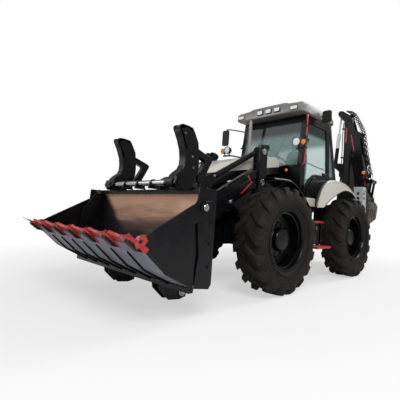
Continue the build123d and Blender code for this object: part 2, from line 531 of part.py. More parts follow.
def digging_arm():
    plate = block(-3300, FRAME_X0 - SEAT_GAP, -330, 330, 500, 1340)
    plate += block(FRAME_X0 - 10, FRAME_X1 - 40, -330, 330, 1280 + SEAT_GAP, 1340)
    plate += block(FRAME_X0 - 10, FRAME_X1 - 40, -330, 330, 500, 560 - SEAT_GAP)
    for z in (500, 1042):
        plate += block(SWING_X, -3290, -110, 110, z, z + 60) + rod((SWING_X, 0, z), (SWING_X, 0, z + 60), 110)
    plate += rod((SWING_X, 0, 490), (SWING_X, 0, 1112), 40)
    save("carriage", plate)
    post = rod((SWING_X, 0, 565), (SWING_X, 0, 1037), 90)
    cheek = [(60, 600), (180, 640), (330, 820), (335, 970), (230, 1080), (185, 1250), (110, 1270), (45, 1230),
             (45, 1130), (130, 1120), (130, 1030), (60, 1020)]
    for x in (-108, 86):
        post += arm_slab(cheek, x, x + 22)
    post += arm_slab([(60, 610), (150, 640), (150, 800), (60, 1020)], -100, 100)
    post += arm_pin(BOOM_BASE, PIN_R + 8, -120, 120) + arm_pin(BOOM_RAM_BASE, PIN_R, -108, 108)
    save("kingpost", post - rod((SWING_X, 0, 400), (SWING_X, 0, 1200), 40 + RUN))
    boom = [(150, 870), (180, 815), (240, 800), (310, 830), (345, 900), (425, 1900), (445, 2700), (455, 3400),
            (420, 3500), (330, 3510), (268, 3440), (258, 2600), (225, 1900)]
    made = arm_slab(boom, -BOOM_HALF, BOOM_HALF) - arm_pin(BOOM_BASE, PIN_R + 8 + RUN, -200, 200)
    for x in (-48, 30):
        made += arm_slab([(240, 1970), (140, 2050), (135, 2140), (245, 2250)], x, x + 18)
    for x in (-BOOM_HALF, BOOM_HALF - 18):
        made += arm_slab([(235, 2080), (240, 2350), (60, 2370), (-25, 2330), (-20, 2260), (60, 2240)], x, x + 18)
    made += arm_pin(DIPPER_RAM_BASE, PIN_R, -BOOM_HALF, BOOM_HALF)
    made += arm_pin(BOOM_TIP, PIN_R + 8, -112, 112)
    save("boom", made)
    side = [(110, 3590), (150, 3650), (230, 3640), (440, 3490), (545, 3100), (650, 3075), (690, 3020),
            (675, 2900), (715, 2500), (850, 1760),
            (850, 1640), (800, 1600), (745, 1650), (600, 2080), (480, 2600), (340, 3300), (280, 3360), (120, 3540)]
    plates = [arm_slab(side, x, x + 22) for x in (-107, 85)]
    core = [(485, 2600), (500, 2720), (560, 2820), (610, 2820), (700, 2500), (850, 1760), (850, 1640), (800, 1600),
            (745, 1650), (600, 2080)]
    arm = plates[0] + plates[1] + arm_slab(core, -86, 86)
    arm -= arm_pin(BOOM_TIP, PIN_R + 8 + RUN, -200, 200)
    arm += arm_pin(DIPPER_END, PIN_R, -140, 140)
    arm += arm_pin(CURL_RAM_BASE, PIN_R, -107, 107) + arm_pin(CURL_LEVER, PIN_R, -140, 140)
    save("dipper", arm)
    levers = strap(CURL_LEVER, CURL_EYE, 45, 112, 130) + strap(CURL_LEVER, CURL_EYE, 45, -130, -112)
    levers -= arm_pin(CURL_LEVER, PIN_R + RUN, -200, 200)
    save("curl_levers", levers + arm_pin(CURL_EYE, PIN_R, 30, 130) + arm_pin(CURL_EYE, PIN_R, -130, -30))
    bars = strap(CURL_EYE, CURL_LINK, 42, 88, 104) + strap(CURL_EYE, CURL_LINK, 42, -104, -88)
    bars += arm_pin(CURL_LINK, PIN_R + 8, -104, 104)
    save("curl_link", bars - arm_pin(CURL_EYE, PIN_R + RUN, -200, 200))
    for name, base, eye, share, start in (("boom", BOOM_RAM_BASE, BOOM_RAM_EYE, 0.8, 0.14),
                                          ("dipper", DIPPER_RAM_BASE, DIPPER_RAM_EYE, 0.62, 0.44),
                                          ("curl", CURL_RAM_BASE, CURL_EYE, 0.66, 0.36)):
        barrel, piston = arm_ram(base, eye, share, start, 45)
        save(f"{name}_barrel", barrel)
        save(f"{name}_rod", piston)
    wall = 18
    profile = [(930, 1440), (965, 1350), (930, 1080), (790, 960), (600, 955), (505, 1020), (480, 1130), (520, 1090),
               (610, 990), (780, 985), (905, 1095), (938, 1345), (915, 1425), (780, 1425), (780, 1440)]
    cheek = [(930, 1440), (965, 1350), (930, 1080), (790, 960), (600, 955), (505, 1020), (500, 1090), (680, 1380),
             (780, 1440)]
    tub = arm_slab(profile, -DIGGER_HALF, DIGGER_HALF)
    for x in (-DIGGER_HALF, DIGGER_HALF - wall):
        tub += arm_slab(cheek, x, x + wall)
    ears = [(750, 1640), (765, 1700), (820, 1720), (860, 1685), (925, 1540), (935, 1480), (962, 1380), (880, 1410),
            (800, 1430), (770, 1560)]
    for x in (-134, 112):
        tub += arm_slab(ears, x, x + 22)
    save("digger_bucket", tub - arm_pin(DIPPER_END, PIN_R + RUN, -300, 300))


os.makedirs("parts", exist_ok=True)
wheels()
frame()
towers()
front_fenders()
hood()
nose()
engine()
cab()
roof()
interior()
rear_fenders()
steps()
rear_frame()
exhaust()
lamps()
loader()
bucket()
digging_arm()
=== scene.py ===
import bmesh
import bpy
import numpy as np
from mathutils import Matrix, Vector


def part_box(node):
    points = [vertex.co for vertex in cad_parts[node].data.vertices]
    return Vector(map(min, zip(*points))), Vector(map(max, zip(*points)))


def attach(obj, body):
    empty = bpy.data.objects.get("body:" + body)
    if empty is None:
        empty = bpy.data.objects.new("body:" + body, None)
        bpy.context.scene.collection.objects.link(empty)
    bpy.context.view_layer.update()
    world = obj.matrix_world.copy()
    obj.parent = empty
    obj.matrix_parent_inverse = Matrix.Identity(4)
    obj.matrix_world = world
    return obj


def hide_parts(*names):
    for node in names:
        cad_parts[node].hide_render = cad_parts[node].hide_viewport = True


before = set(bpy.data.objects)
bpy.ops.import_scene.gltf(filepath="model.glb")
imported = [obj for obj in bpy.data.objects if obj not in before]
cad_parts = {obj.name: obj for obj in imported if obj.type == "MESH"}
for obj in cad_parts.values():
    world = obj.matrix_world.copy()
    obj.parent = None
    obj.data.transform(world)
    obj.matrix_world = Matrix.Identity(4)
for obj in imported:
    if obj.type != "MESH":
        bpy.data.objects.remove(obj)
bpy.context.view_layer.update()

# Lengths are metres. The front axle stands this far ahead of the middle of the machine.
FRONT = 0.695
REAR_AXLE = FRONT - 2.217
AXLE_Z = 0.708
WHEEL_Y = 0.942
BODY = "root"


class Wire:
    """A socket in a material's node tree, with the maths operators that shaders need."""

    def __init__(self, tree, socket):
        self.tree = tree
        self.socket = socket

    def node(self, kind, settings=None, values=None, output=0):
        made = self.tree.nodes.new(kind)
        for key, value in (settings or {}).items():
            setattr(made, key, value)
        for key, value in (values or {}).items():
            if isinstance(value, Wire):
                self.tree.links.new(value.socket, made.inputs[key])
            else:
                made.inputs[key].default_value = value
        return Wire(self.tree, made.outputs[output])

    def maths(self, operation, *values):
        return self.node("ShaderNodeMath", {"operation": operation}, dict(enumerate(values)))

    def __add__(self, other):
        return self.maths("ADD", self, other)

    def __radd__(self, other):
        return self.maths("ADD", other, self)

    def __sub__(self, other):
        return self.maths("SUBTRACT", self, other)

    def __rsub__(self, other):
        return self.maths("SUBTRACT", other, self)

    def __mul__(self, other):
        return self.maths("MULTIPLY", self, other)

    def smooth(self, low, high):
        """0 below low, 1 above high, and a smooth step between them."""
        return self.node("ShaderNodeMapRange", {"interpolation_type": "SMOOTHSTEP"},
                         {"Value": self, "From Min": low, "From Max": high})


class Finish:
    """A material on Object coordinates, with the noises and mixes that the finishes share."""

    def __init__(self, name, **plain):
        self.material = bpy.data.materials.new(name)
        self.material.use_nodes = True
        self.tree = self.material.node_tree
        self.shader = self.tree.nodes["Principled BSDF"]
        for key, value in plain.items():
            self.shader.inputs[key.replace("_", " ")].default_value = value
        start = Wire(self.tree, None)
        self.place = start.node("ShaderNodeTexCoord", output=3)
        self.node = start.node
        self.x, self.y, self.z = [self.node("ShaderNodeSeparateXYZ", values={0: self.place}, output=index)
                                  for index in range(3)]

    def noise(self, scale, detail=3.0, rough=0.55, stretch=None):
        place = self.place
        if stretch:
            place = self.node("ShaderNodeMapping", values={"Vector": place, "Scale": stretch})
        return self.node("ShaderNodeTexNoise", values={"Vector": place, "Scale": scale, "Detail": detail,
                                                       "Roughness": rough})

    def mix(self, factor, below, above):
        """A colour between two, by a factor from 0 to 1."""
        return self.node("ShaderNodeMix", {"data_type": "RGBA"}, {"Factor": factor, 6: colour(below),
                                                                  7: colour(above)}, output=2)

    def set(self, key, wire):
        self.tree.links.new(wire.socket, self.shader.inputs[key])

    def look(self, tone, rough, height=None, distance=0.0, strength=1.0):
        """Colour and roughness over the surface, and relief where a height is given."""
        self.set("Base Color", tone)
        self.set("Roughness", rough)
        if height is not None:
            self.set("Normal", self.node("ShaderNodeBump", values={"Height": height, "Distance": distance,
                                                                   "Strength": strength}))
        return self

    def waves(self, direction, scale):
        return self.node("ShaderNodeTexWave", {"bands_direction": direction},
                         {"Vector": self.place, "Scale": scale})


def colour(value):
    if isinstance(value, Wire):
        return value
    return (*value, 1.0) if len(value) == 3 else value


def line_side(finish, a, b):
    """How far a point lies above the line from a to b in the machine's side view, in metres."""
    (ax, az), (bx, bz) = a, b
    length = ((bx - ax) ** 2 + (bz - az) ** 2) ** 0.5
    nx, nz = -(bz - az) / length, (bx - ax) / length
    if nz < 0:
        nx, nz = -nx, -nz
    return finish.x * nx + finish.z * nz - (ax * nx + az * nz)


def enamel(name, base, rough=0.3, dust=(0.3, 0.27, 0.23), dusty=0.22, coat=0.25, **plain):
    """Sprayed machine paint: cloudy tone, fine orange peel, dust that gathers low down and in patches."""
    made = Finish(name, Metallic=0.0, Coat_Weight=coat, Coat_Roughness=0.12, **plain)
    low = 1 - made.z.smooth(0.1, 1.5)
    patch = made.noise(9.0, 6.0, 0.65).smooth(0.45, 0.8)
    grime = patch * (low * dusty + dusty * 0.25)
    tone = tuple(c * 0.82 for c in base)
    made.coated = made.mix(grime, made.mix(made.noise(2.2, 4.0), base, tone), dust)
    rough_over = made.noise(35.0, 3.0) * 0.1 + grime * 0.5 + (rough - 0.05)
    return made.look(made.coated, rough_over, made.noise(420.0, 2.0), 0.0004, 0.25)


CREAM = (0.62, 0.6, 0.54)
NIGHT = (0.003, 0.0033, 0.0045)
RED = (0.42, 0.02, 0.018)
SILVER = (0.5, 0.51, 0.53)
RAM = (0.66, 0.68, 0.72)
DULL = {"Specular_IOR_Level": 0.22}

# Sprayed finishes: base colour, roughness, and what differs from the usual dust and coat
PAINTS = {
    "cream": (CREAM, 0.28, {}),
    "hood": (CREAM, 0.28, {}),
    "night": (NIGHT, 0.26, dict(DULL, dust=(0.02, 0.017, 0.014), dusty=0.35, coat=0.06)),
    "sleeve": (NIGHT, 0.34, dict(DULL, dusty=0.2, coat=0.0)),
    "rim": ((0.0016, 0.0017, 0.002), 0.3, dict(DULL, dust=(0.008, 0.007, 0.006), dusty=0.3, coat=0.05)),
    "red": (RED, 0.32, {"dusty": 0.2}),
    "silver": (SILVER, 0.35, {}),
    "ram": (RAM, 0.3, {"dusty": 0.1}),
    "roof": ((0.235, 0.225, 0.205), 0.3, {"coat": 0.35, "dusty": 0.3}),
    "stack": ((0.36, 0.34, 0.31), 0.45, {"coat": 0.0}),
    "guard": ((0.03, 0.022, 0.018), 0.5, {"dust": (0.06, 0.045, 0.035), "coat": 0.0}),
    "tank": ((0.012, 0.008, 0.007), 0.46, {"dust": (0.03, 0.022, 0.016), "coat": 0.0,
                                           "Specular_IOR_Level": 0.25}),
}


def make_finishes():
    """Every finish of the machine, by name."""
    made = {key: enamel(f"{key}_enamel", base, rough, **rest) for key, (base, rough, rest) in PAINTS.items()}
    made["roof"].shader.inputs["Metallic"].default_value = 0.25
    sleeve, hood = made["sleeve"], made["hood"]
    sleeve.set("Base Color", sleeve.mix(sleeve.z.smooth(2.745, 2.75), NIGHT, RAM))
    seam = line_side(hood, (FRONT - 0.72, 1.845), (FRONT + 0.7, 1.56))
    upper = seam.smooth(-0.004, 0.004) * (1 - hood.z.smooth(2.02, 2.024))
    hood.set("Base Color", hood.mix(upper, NIGHT, hood.coated))

    rubber = Finish("tyre_rubber", Specular_IOR_Level=0.2)
    grit = rubber.noise(55.0, 8.0, 0.7)
    mud = rubber.noise(7.0, 6.0, 0.7).smooth(0.42, 0.75)
    black = rubber.mix(grit, (0.0045, 0.004, 0.0036), (0.011, 0.0092, 0.008))
    made["rubber"] = rubber.look(rubber.mix(mud * 0.225 + 0.1125, black, (0.046, 0.036, 0.028)),
                                 0.62 + grit * 0.25, rubber.noise(160.0, 5.0, 0.7), 0.0015, 0.5)

    plastic = Finish("grained_plastic", Specular_IOR_Level=0.4)
    grain = plastic.node("ShaderNodeTexVoronoi", values={"Vector": plastic.place, "Scale": 380.0})
    black = plastic.mix(plastic.noise(12.0), (0.0045, 0.0045, 0.0052), (0.011, 0.011, 0.012))
    made["plastic"] = plastic.look(black, 0.48 + plastic.noise(60.0) * 0.2, grain, 0.0004, 0.4)

    chrome = Finish("rod_chrome", Metallic=1.0)
    streak = chrome.noise(24.0, 3.0, 0.6, stretch=(1.0, 6.0, 1.0))
    made["chrome"] = chrome.look(chrome.mix(streak, (0.62, 0.63, 0.65), SILVER), 0.12 + streak * 0.14)

    steel = Finish("worn_steel", Metallic=0.85)
    worn = steel.noise(18.0, 8.0, 0.7)
    rusty = steel.mix(worn.smooth(0.4, 0.65), (0.2, 0.19, 0.18), (0.075, 0.055, 0.042))
    made["steel"] = steel.look(rusty, 0.32 + worn * 0.4, worn, 0.001, 0.3)

    copper = Finish("polished_back_painted_shade", Metallic=0.15)
    streaks = copper.noise(3.0, 6.0, 0.65, stretch=(1.0, 0.35, 3.0))
    level = copper.z + streaks * 0.42
    brown = copper.mix(level.smooth(0.86, 1.16), (0.016, 0.01, 0.009), (0.235, 0.13, 0.11))
    polished = copper.mix(level.smooth(1.04, 1.34), brown, (0.86, 0.5, 0.33))
    # Painted shade: the sheet turns near black beside the right-hand cheek, over a wider strip lower down.
    unshaded = (copper.y + 1.15 - (1.24 - copper.z) * 1.2 + streaks * 0.1).smooth(-0.02, 0.16)
    made["copper"] = copper.look(copper.mix(unshaded, (0.006, 0.006, 0.007), polished),
                                 0.42 + copper.noise(30.0, 5.0) * 0.2, copper.noise(14.0, 6.0), 0.002, 0.2)

    floor = Finish("scoured_floor_painted_reflection", Metallic=0.2)
    scour = floor.noise(5.0, 7.0, 0.65, stretch=(1.0, 3.0, 1.0))
    # Scour streaks of worn steel, in a bright bluish grey that is painted reflection.
    scour_and_reflection_grey = floor.mix(scour.smooth(0.3, 0.7), (0.11, 0.114, 0.14), (0.235, 0.24, 0.285))
    made["floor"] = floor.look(scour_and_reflection_grey, 0.38 + scour * 0.3, floor.noise(90.0, 5.0), 0.0006, 0.3)

    iron = Finish("engine_iron", Metallic=0.4)
    cast = iron.noise(70.0, 6.0, 0.7)
    made["iron"] = iron.look(iron.mix(cast, (0.035, 0.035, 0.038), (0.08, 0.078, 0.075)), 0.5 + cast * 0.3,
                             cast, 0.002, 0.5)

    glass = Finish("tinted_glass", IOR=1.45)
    haze = glass.noise(5.0, 4.0)
    behind = 1 - glass.x.smooth(FRONT - 1.12, FRONT - 1.08)
    side = behind.maths("MAXIMUM", behind, 0.5)
    shade = glass.z.smooth(2.38, 2.52)
    pale = glass.mix(haze, (0.34, 0.6, 0.58), (0.42, 0.66, 0.64))
    pale = glass.mix(shade, pale, (0.02, 0.024, 0.026))
    made["glass"] = glass.look(glass.mix(side, (0.01, 0.013, 0.015), pale), 0.03 + haze * 0.05)
    glass.set("Alpha", 0.8 - side * (1 - shade) * 0.6 + haze * 0.06)

    lens = Finish("lamp_glass", IOR=1.5)
    flute = lens.waves("Y", 42.0)
    made["lens"] = lens.look(lens.mix(flute, (0.62, 0.64, 0.66), (0.85, 0.86, 0.86)),
                             0.08 + lens.noise(30.0) * 0.08, flute, 0.001, 0.4)

    amber = Finish("amber_glass", IOR=1.5)
    ridge = amber.waves("Z", 60.0)
    made["amber"] = amber.look(amber.mix(ridge, (0.75, 0.16, 0.012), (0.88, 0.27, 0.03)),
                               0.12 + amber.noise(30.0) * 0.08, ridge, 0.001, 0.5)

    cloth = Finish("seat_cloth", Sheen_Weight=0.3)
    thread = cloth.waves("DIAGONAL", 160.0)
    made["cloth"] = cloth.look(cloth.mix(thread, (0.018, 0.018, 0.02), (0.045, 0.045, 0.048)),
                               0.8 + cloth.noise(20.0) * 0.12, thread, 0.0008, 0.5)
    return made


finishes = make_finishes()


def dress(node, finish):
    """Gives a CAD node another finish."""
    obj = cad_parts[node]
    material = finishes[finish].material
    if obj.material_slots:
        for slot in obj.material_slots:
            slot.material = material
    else:
        obj.data.materials.append(material)


NODE_FINISH = {
    "cream": ("cab_roof", "rear_fenders"),
    "hood": ("hood",),
    "silver": ("stabilizer_housings", "stabilizer_leg_left", "stabilizer_leg_right"),
    "chrome": ("lift_rods", "tilt_rods", "boom_rod", "curl_rod"),
    "ram": ("dipper_rod",),
    "sleeve": ("dipper_barrel",),
    "plastic": ("cab_interior", "mirrors", "head_lamps", "nose_grille", "front_fenders"),
    "iron": ("engine",),
    "stack": ("exhaust",),
    "glass": ("cab_glass", "door_left", "door_right"),
    "rubber": ("tyre_front_left", "tyre_front_right", "tyre_rear_left", "tyre_rear_right"),
    "rim": ("rim_front_left", "rim_front_right", "rim_rear_left", "rim_rear_right"),
}
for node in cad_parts:
    dress(node, "night")
for finish_name, nodes in NODE_FINISH.items():
    for node in nodes:
        dress(node, finish_name)


# Shapes: each is worked out as whole arrays and returned as (points, faces)
def weave(rows, columns, wrap_rows, wrap_columns):
    """Quads that join a grid of points, row by row, closing round where asked."""
    r = np.arange(rows if wrap_rows else rows - 1)[:, None]
    c = np.arange(columns if wrap_columns else columns - 1)[None, :]
    r2, c2 = (r + 1) % rows, (c + 1) % columns
    quads = np.stack([r * columns + c, r2 * columns + c, r2 * columns + c2, r * columns + c2], axis=-1)
    return quads.reshape(-1, 4)


def turned(profile, centre, axis, steps=64, closed=True):
    """A profile of (along, radius) turned about an axis: centre + along * axis + radius * (cos t, sin t)."""
    along, radius = np.asarray(profile, float).T
    axis = np.asarray(axis, float) / np.linalg.norm(axis)
    side = np.cross(axis, (0.0, 0.0, 1.0) if abs(axis[2]) < 0.9 else (1.0, 0.0, 0.0))
    side /= np.linalg.norm(side)
    over = np.cross(axis, side)
    t = np.linspace(0, 2 * np.pi, steps, endpoint=False)
    ring = np.cos(t)[:, None] * side + np.sin(t)[:, None] * over
    points = np.asarray(centre, float) + along[None, :, None] * axis + radius[None, :, None] * ring[:, None]
    return points.reshape(-1, 3), weave(steps, len(along), True, closed).tolist()


def disc(centre, axis, radius, length, steps=24, dome=0.0):
    """A short round bar whose front may be domed: radius falls to nothing over a quarter turn."""
    profile = [(0.0, 1e-5), (0.0, radius)]
    if dome:
        a = np.linspace(0, np.pi / 2, 7)[:-1]
        profile += [(length + dome * np.sin(k), radius * np.cos(k)) for k in a]
        profile += [(length + dome, 1e-5)]
    else:
        profile += [(length, radius), (length, 1e-5)]
    return turned(profile, centre, axis, steps, closed=True)


def slab(outline, low, high, axis=1):
    """A flat outline carried straight along one axis, from low to high."""
    flat = np.asarray(outline, float)
    count = len(flat)
    area = np.sum(flat[:, 0] * np.roll(flat[:, 1], -1) - np.roll(flat[:, 0], -1) * flat[:, 1])
    if (area > 0) == (axis == 1):
        flat = flat[::-1]
    points = np.empty((2, count, 3))
    points[:, :, axis] = np.array([low, high])[:, None]
    points[:, :, [k for k in range(3) if k != axis]] = flat
    walls = [[i, (i + 1) % count, count + (i + 1) % count, count + i] for i in range(count)]
    return points.reshape(-1, 3), [list(range(count))[::-1], list(range(count, 2 * count))] + walls


def brick(x0, x1, y0, y1, z0, z1):
    return slab([(x0, z0), (x1, z0), (x1, z1), (x0, z1)], y0, y1)


def loft(sections):
    """A skin over closed sections of one count, with both ends capped."""
    grid = np.array(sections)
    rows, count = grid.shape[:2]
    caps = [list(range(count)), list(range((rows - 1) * count, rows * count))]
    return grid.reshape(-1, 3), weave(rows, count, False, True).tolist() + caps


def sheet(rows, thick, down=(0, 0, -1)):
    """A closed plate: a grid of points and the same grid moved by its thickness."""
    top = np.asarray(rows, float)
    low = top + np.asarray(down) * thick
    n, m = top.shape[:2]
    faces = weave(n, m, False, False).tolist()
    base = n * m
    faces += [[base + i for i in face[::-1]] for face in faces]
    ring = [i * m for i in range(n)] + [(n - 1) * m + j for j in range(1, m)]
    ring += [i * m + m - 1 for i in range(n - 2, -1, -1)] + [j for j in range(m - 2, 0, -1)]
    faces += [[a, b, base + b, base + a] for a, b in zip(ring, ring[1:] + ring[:1])]
    return np.vstack([top.reshape(-1, 3), low.reshape(-1, 3)]), faces


def rounded(x0, x1, y0, y1, z0, z1, radius, axis=0, steps=5):
    """A box with rounded edges along one axis: four quarter circles, centre + radius * (cos t, sin t)."""
    lows, highs = [(y0, z0), (x0, z0), (x0, y0)][axis], [(y1, z1), (x1, z1), (x1, y1)][axis]
    a = np.linspace(0, np.pi / 2, steps)
    corners = ((highs[0] - radius, highs[1] - radius), (lows[0] + radius, highs[1] - radius),
               (lows[0] + radius, lows[1] + radius), (highs[0] - radius, lows[1] + radius))
    loop = []
    for k, (cx, cz) in enumerate(corners):
        loop += list(zip(cx + radius * np.cos(a + k * np.pi / 2), cz + radius * np.sin(a + k * np.pi / 2)))
    return slab(loop, (x0, y0, z0)[axis], (x1, y1, z1)[axis], axis)


def curve_through(points, steps=12):
    """A smooth line through the points: between each pair a cubic whose slopes follow the neighbours."""
    p = np.asarray(points, float)
    p = np.vstack([2 * p[0] - p[1], p, 2 * p[-1] - p[-2]])
    t = np.linspace(0, 1, steps, endpoint=False)[:, None]
    parts = [0.5 * (2 * b + (c - a) * t + (2 * a - 5 * b + 4 * c - d) * t ** 2
                    + (3 * b - a - 3 * c + d) * t ** 3)
             for a, b, c, d in zip(p[:-3], p[1:-2], p[2:-1], p[3:])]
    return np.vstack(parts + [p[-2][None]])


def tube(path, radius, sides=10, smooth=True, steps=12):
    """A round section carried along a path: path(s) + radius * (cos t * side(s) + sin t * over(s))."""
    line = curve_through(path, steps) if smooth else np.asarray(path, float)
    go = np.gradient(line, axis=0)
    go /= np.linalg.norm(go, axis=1)[:, None]
    up = np.where(np.abs(go[:, 2:3]) > 0.95, (1.0, 0.0, 0.0), (0.0, 0.0, 1.0))
    side = np.cross(go, up)
    side /= np.linalg.norm(side, axis=1)[:, None]
    flip = np.cumprod(np.where(np.sum(side[1:] * side[:-1], axis=1) < 0, -1.0, 1.0))
    side[1:] *= flip[:, None]
    over = np.cross(go, side)
    t = np.linspace(0, 2 * np.pi, sides, endpoint=False)
    turn_cos, turn_sin = np.cos(t)[None, :, None], np.sin(t)[None, :, None]
    rings = line[:, None] + radius * (turn_cos * side[:, None] + turn_sin * over[:, None])
    ends = np.stack([np.broadcast_to(line[0], rings[0].shape), np.broadcast_to(line[-1], rings[0].shape)])
    rings = np.concatenate([ends[:1], rings, ends[1:]])
    return rings.reshape(-1, 3), weave(len(rings), sides, False, True).tolist()


# Places: distances along the machine are measured from the front axle, ahead positive
SIDES = (("left", 1), ("right", -1))
# The small radius at which a turned form closes on its axis
CORE = 0.001


def ahead(outline):
    """Side-view points moved to the machine's own origin."""
    return [(x + FRONT, z) for x, z in outline]


def spot(x, y, z):
    return (x + FRONT, y, z)


def span(out, a, b):
    """Two distances from the machine's middle, on the side that out names, the lower first."""
    return sorted((out * a, out * b))


def plate(outline, low, high):
    """A side-view outline carried across the machine."""
    return slab(ahead(outline), *sorted((low, high)))


def pad(x0, x1, *rest):
    return rounded(x0 + FRONT, x1 + FRONT, *rest)


def pipe(places, radius, sides=10, smooth=False):
    return tube([spot(*place) for place in places], radius, sides, smooth)


def bar(place, axis, low, high, radius, steps, bore=CORE):
    """A plain round bar or sleeve along an axis, from low to high."""
    return turned([(low, bore), (low, radius), (high, radius), (high, bore)], place, axis, steps)


def bolt(x, y, z, out, radius=0.012, tall=0.009):
    profile = [(0, CORE), (0, radius), (tall, radius - 0.001), (tall, CORE)]
    return turned(profile, spot(x, y, z), (0, out, 0), 6)


def piece(name, shapes, finish, body=BODY, replaces=(), bevel=0.0, smooth=True, angle=35):
    """One object from several shapes, welded, with its finish, its body and the node it stands for."""
    points, faces, start = [], [], 0
    for shape_points, shape_faces in shapes:
        points.append(shape_points)
        faces += [[index + start for index in face] for face in shape_faces]
        start += len(shape_points)
    mesh = bpy.data.meshes.new(name)
    mesh.from_pydata(np.vstack(points), [], faces)
    obj = bpy.data.objects.new(name, mesh)
    bpy.context.scene.collection.objects.link(obj)
    work = bmesh.new()
    work.from_mesh(mesh)
    bmesh.ops.remove_doubles(work, verts=work.verts, dist=2e-5)
    bmesh.ops.recalc_face_normals(work, faces=work.faces)
    work.to_mesh(mesh)
    work.free()
    mesh.materials.append(finishes[finish].material)
    if smooth:
        mesh.polygons.foreach_set("use_smooth", [True] * len(mesh.polygons))
        mesh.set_sharp_from_angle(angle=np.radians(angle))
    if bevel:
        edge = obj.modifiers.new("edge", "BEVEL")
        edge.width = bevel
        edge.segments = 2
        edge.limit_method = "ANGLE"
        edge.angle_limit = np.radians(40)
    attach(obj, body)
    if replaces:
        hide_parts(*replaces)
    return obj


# Wheels
WHEELS = {f"{end}_{side}": (x, out) for end, x in (("front", FRONT), ("rear", REAR_AXLE))
          for side, out in SIDES}
ACROSS = (0, 1, 0)
TYRE_SIDE = ((0.158, 0.382), (0.16, 0.402), (0.176, 0.412), (0.198, 0.44), (0.213, 0.485), (0.216, 0.54),
             (0.21, 0.59), (0.197, 0.628), (0.176, 0.652), (0.14, 0.664), (0.09, 0.669), (0.045, 0.671),
             (0.0, 0.672))
TYRE_BEAD = ((-0.15, 0.376), (0.15, 0.376))
RIM_FLANGE = ((0.16, 0.38), (0.161, 0.403), (0.166, 0.4045), (0.172, 0.4045), (0.176, 0.4), (0.174, 0.386),
              (0.15, 0.372), (0.11, 0.368), (0.104, 0.352), (0.04, 0.346), (-0.04, 0.346), (-0.104, 0.352),
              (-0.15, 0.372), (-0.174, 0.386), (-0.176, 0.4), (-0.172, 0.4045), (-0.161, 0.403),
              (-0.16, 0.38))
RIM_DISH = ((-0.041, 0.01), (-0.041, 0.348), (-0.028, 0.348), (-0.016, 0.33), (-0.02, 0.29), (-0.026, 0.24),
            (-0.014, 0.235), (0.0, 0.225), (0.004, 0.165), (0.012, 0.158), (0.07, 0.15), (0.083, 0.138),
            (0.088, 0.11), (0.088, 0.01))
WHEEL_NUT = ((0.0, CORE), (0.0, 0.02), (0.016, 0.019), (0.018, 0.012), (0.028, 0.011), (0.028, CORE))
LUGS = 18
NUTS = 10
TREAD_TOP = 0.7075


def lug(side, turn):
    """One tread bar: it runs from the middle to the shoulder and over it, with tapered flanks."""
    s = np.linspace(0, 1, 9)
    across = 0.01 + 0.196 * s
    swing = -0.235 * (1 - s) ** 1.25
    top = np.where(s < 0.86, TREAD_TOP, TREAD_TOP - (s - 0.86) * 0.3)
    foot = np.interp(across, [0.0, 0.09, 0.14, 0.176, 0.197, 0.21],
                     [0.668, 0.664, 0.658, 0.644, 0.618, 0.58])
    half_top = (0.036 + 0.014 * s) / 0.7
    half_foot = half_top * 1.42
    rows = []
    for half, radius, out in ((-half_foot, foot, 0), (-half_top, top, 1), (half_top, top, 1),
                              (half_foot, foot, 0)):
        a = turn + swing + half
        y = side * (across + 0.004 * out * (s > 0.9))
        rows.append(np.stack([radius * np.sin(a), y, radius * np.cos(a)], axis=-1))
    body = np.stack(rows, axis=1)
    drop = body[-1].copy()
    drop[:, 1] = side * np.array([0.2135, 0.2155, 0.2155, 0.2135])
    drop[:, [0, 2]] *= (0.56 / np.linalg.norm(drop[:, [0, 2]], axis=1))[:, None]
    body = np.concatenate([body, drop[None]])
    rows, columns = body.shape[:2]
    caps = [[3, 2, 1, 0], [(rows - 1) * columns + k for k in range(4)]]
    return body.reshape(-1, 3), weave(rows, columns, False, False).tolist() + caps


def make_tyre(name):
    """A rounded carcass with rings on its sides and staggered bars on its tread."""
    x, out = WHEELS[name]
    side = np.array(TYRE_SIDE)
    shapes = [turned(np.vstack([side, side[-2::-1] * (-1, 1), TYRE_BEAD]), (0, 0, 0), ACROSS, 96)]
    for s in (-1, 1):
        for r in (0.462, 0.5, 0.548):
            ring = [(s * 0.2125, r - 0.004), (s * 0.2195, r), (s * 0.2125, r + 0.004), (s * 0.205, r)]
            shapes.append(turned(ring, (0, 0, 0), ACROSS, 96))
    for s in (-1, 1):
        shapes += [lug(s, (k + 0.25 * (1 + s)) * 2 * np.pi / LUGS) for k in range(LUGS)]
    shapes = [(points + (x, out * WHEEL_Y, AXLE_Z), faces) for points, faces in shapes]
    piece(f"tread_{name}", shapes, "rubber", f"wheel_{name}", [f"tyre_{name}"], angle=42)


def make_rim(name):
    """A deep dished rim with stepped flanges, ten nuts on a raised circle and a hub cap."""
    x, out = WHEELS[name]
    centre = np.array((x, out * WHEEL_Y, AXLE_Z))
    shapes = [turned([(a * out, r) for a, r in profile], centre, ACROSS, 96)
              for profile in (RIM_FLANGE, RIM_DISH)]
    nuts = []
    for a in 2 * np.pi * np.arange(NUTS) / NUTS:
        place = centre + (0.195 * np.cos(a), out * 0.0015, 0.195 * np.sin(a))
        nuts.append(turned([(b * out, r) for b, r in WHEEL_NUT], place, ACROSS, 6))
    piece(f"dish_{name}", shapes, "rim", f"wheel_{name}", [f"rim_{name}"], angle=30)
    piece(f"nuts_{name}", nuts, "plastic", f"wheel_{name}", smooth=False)


for wheel in WHEELS:
    make_tyre(wheel)
    make_rim(wheel)


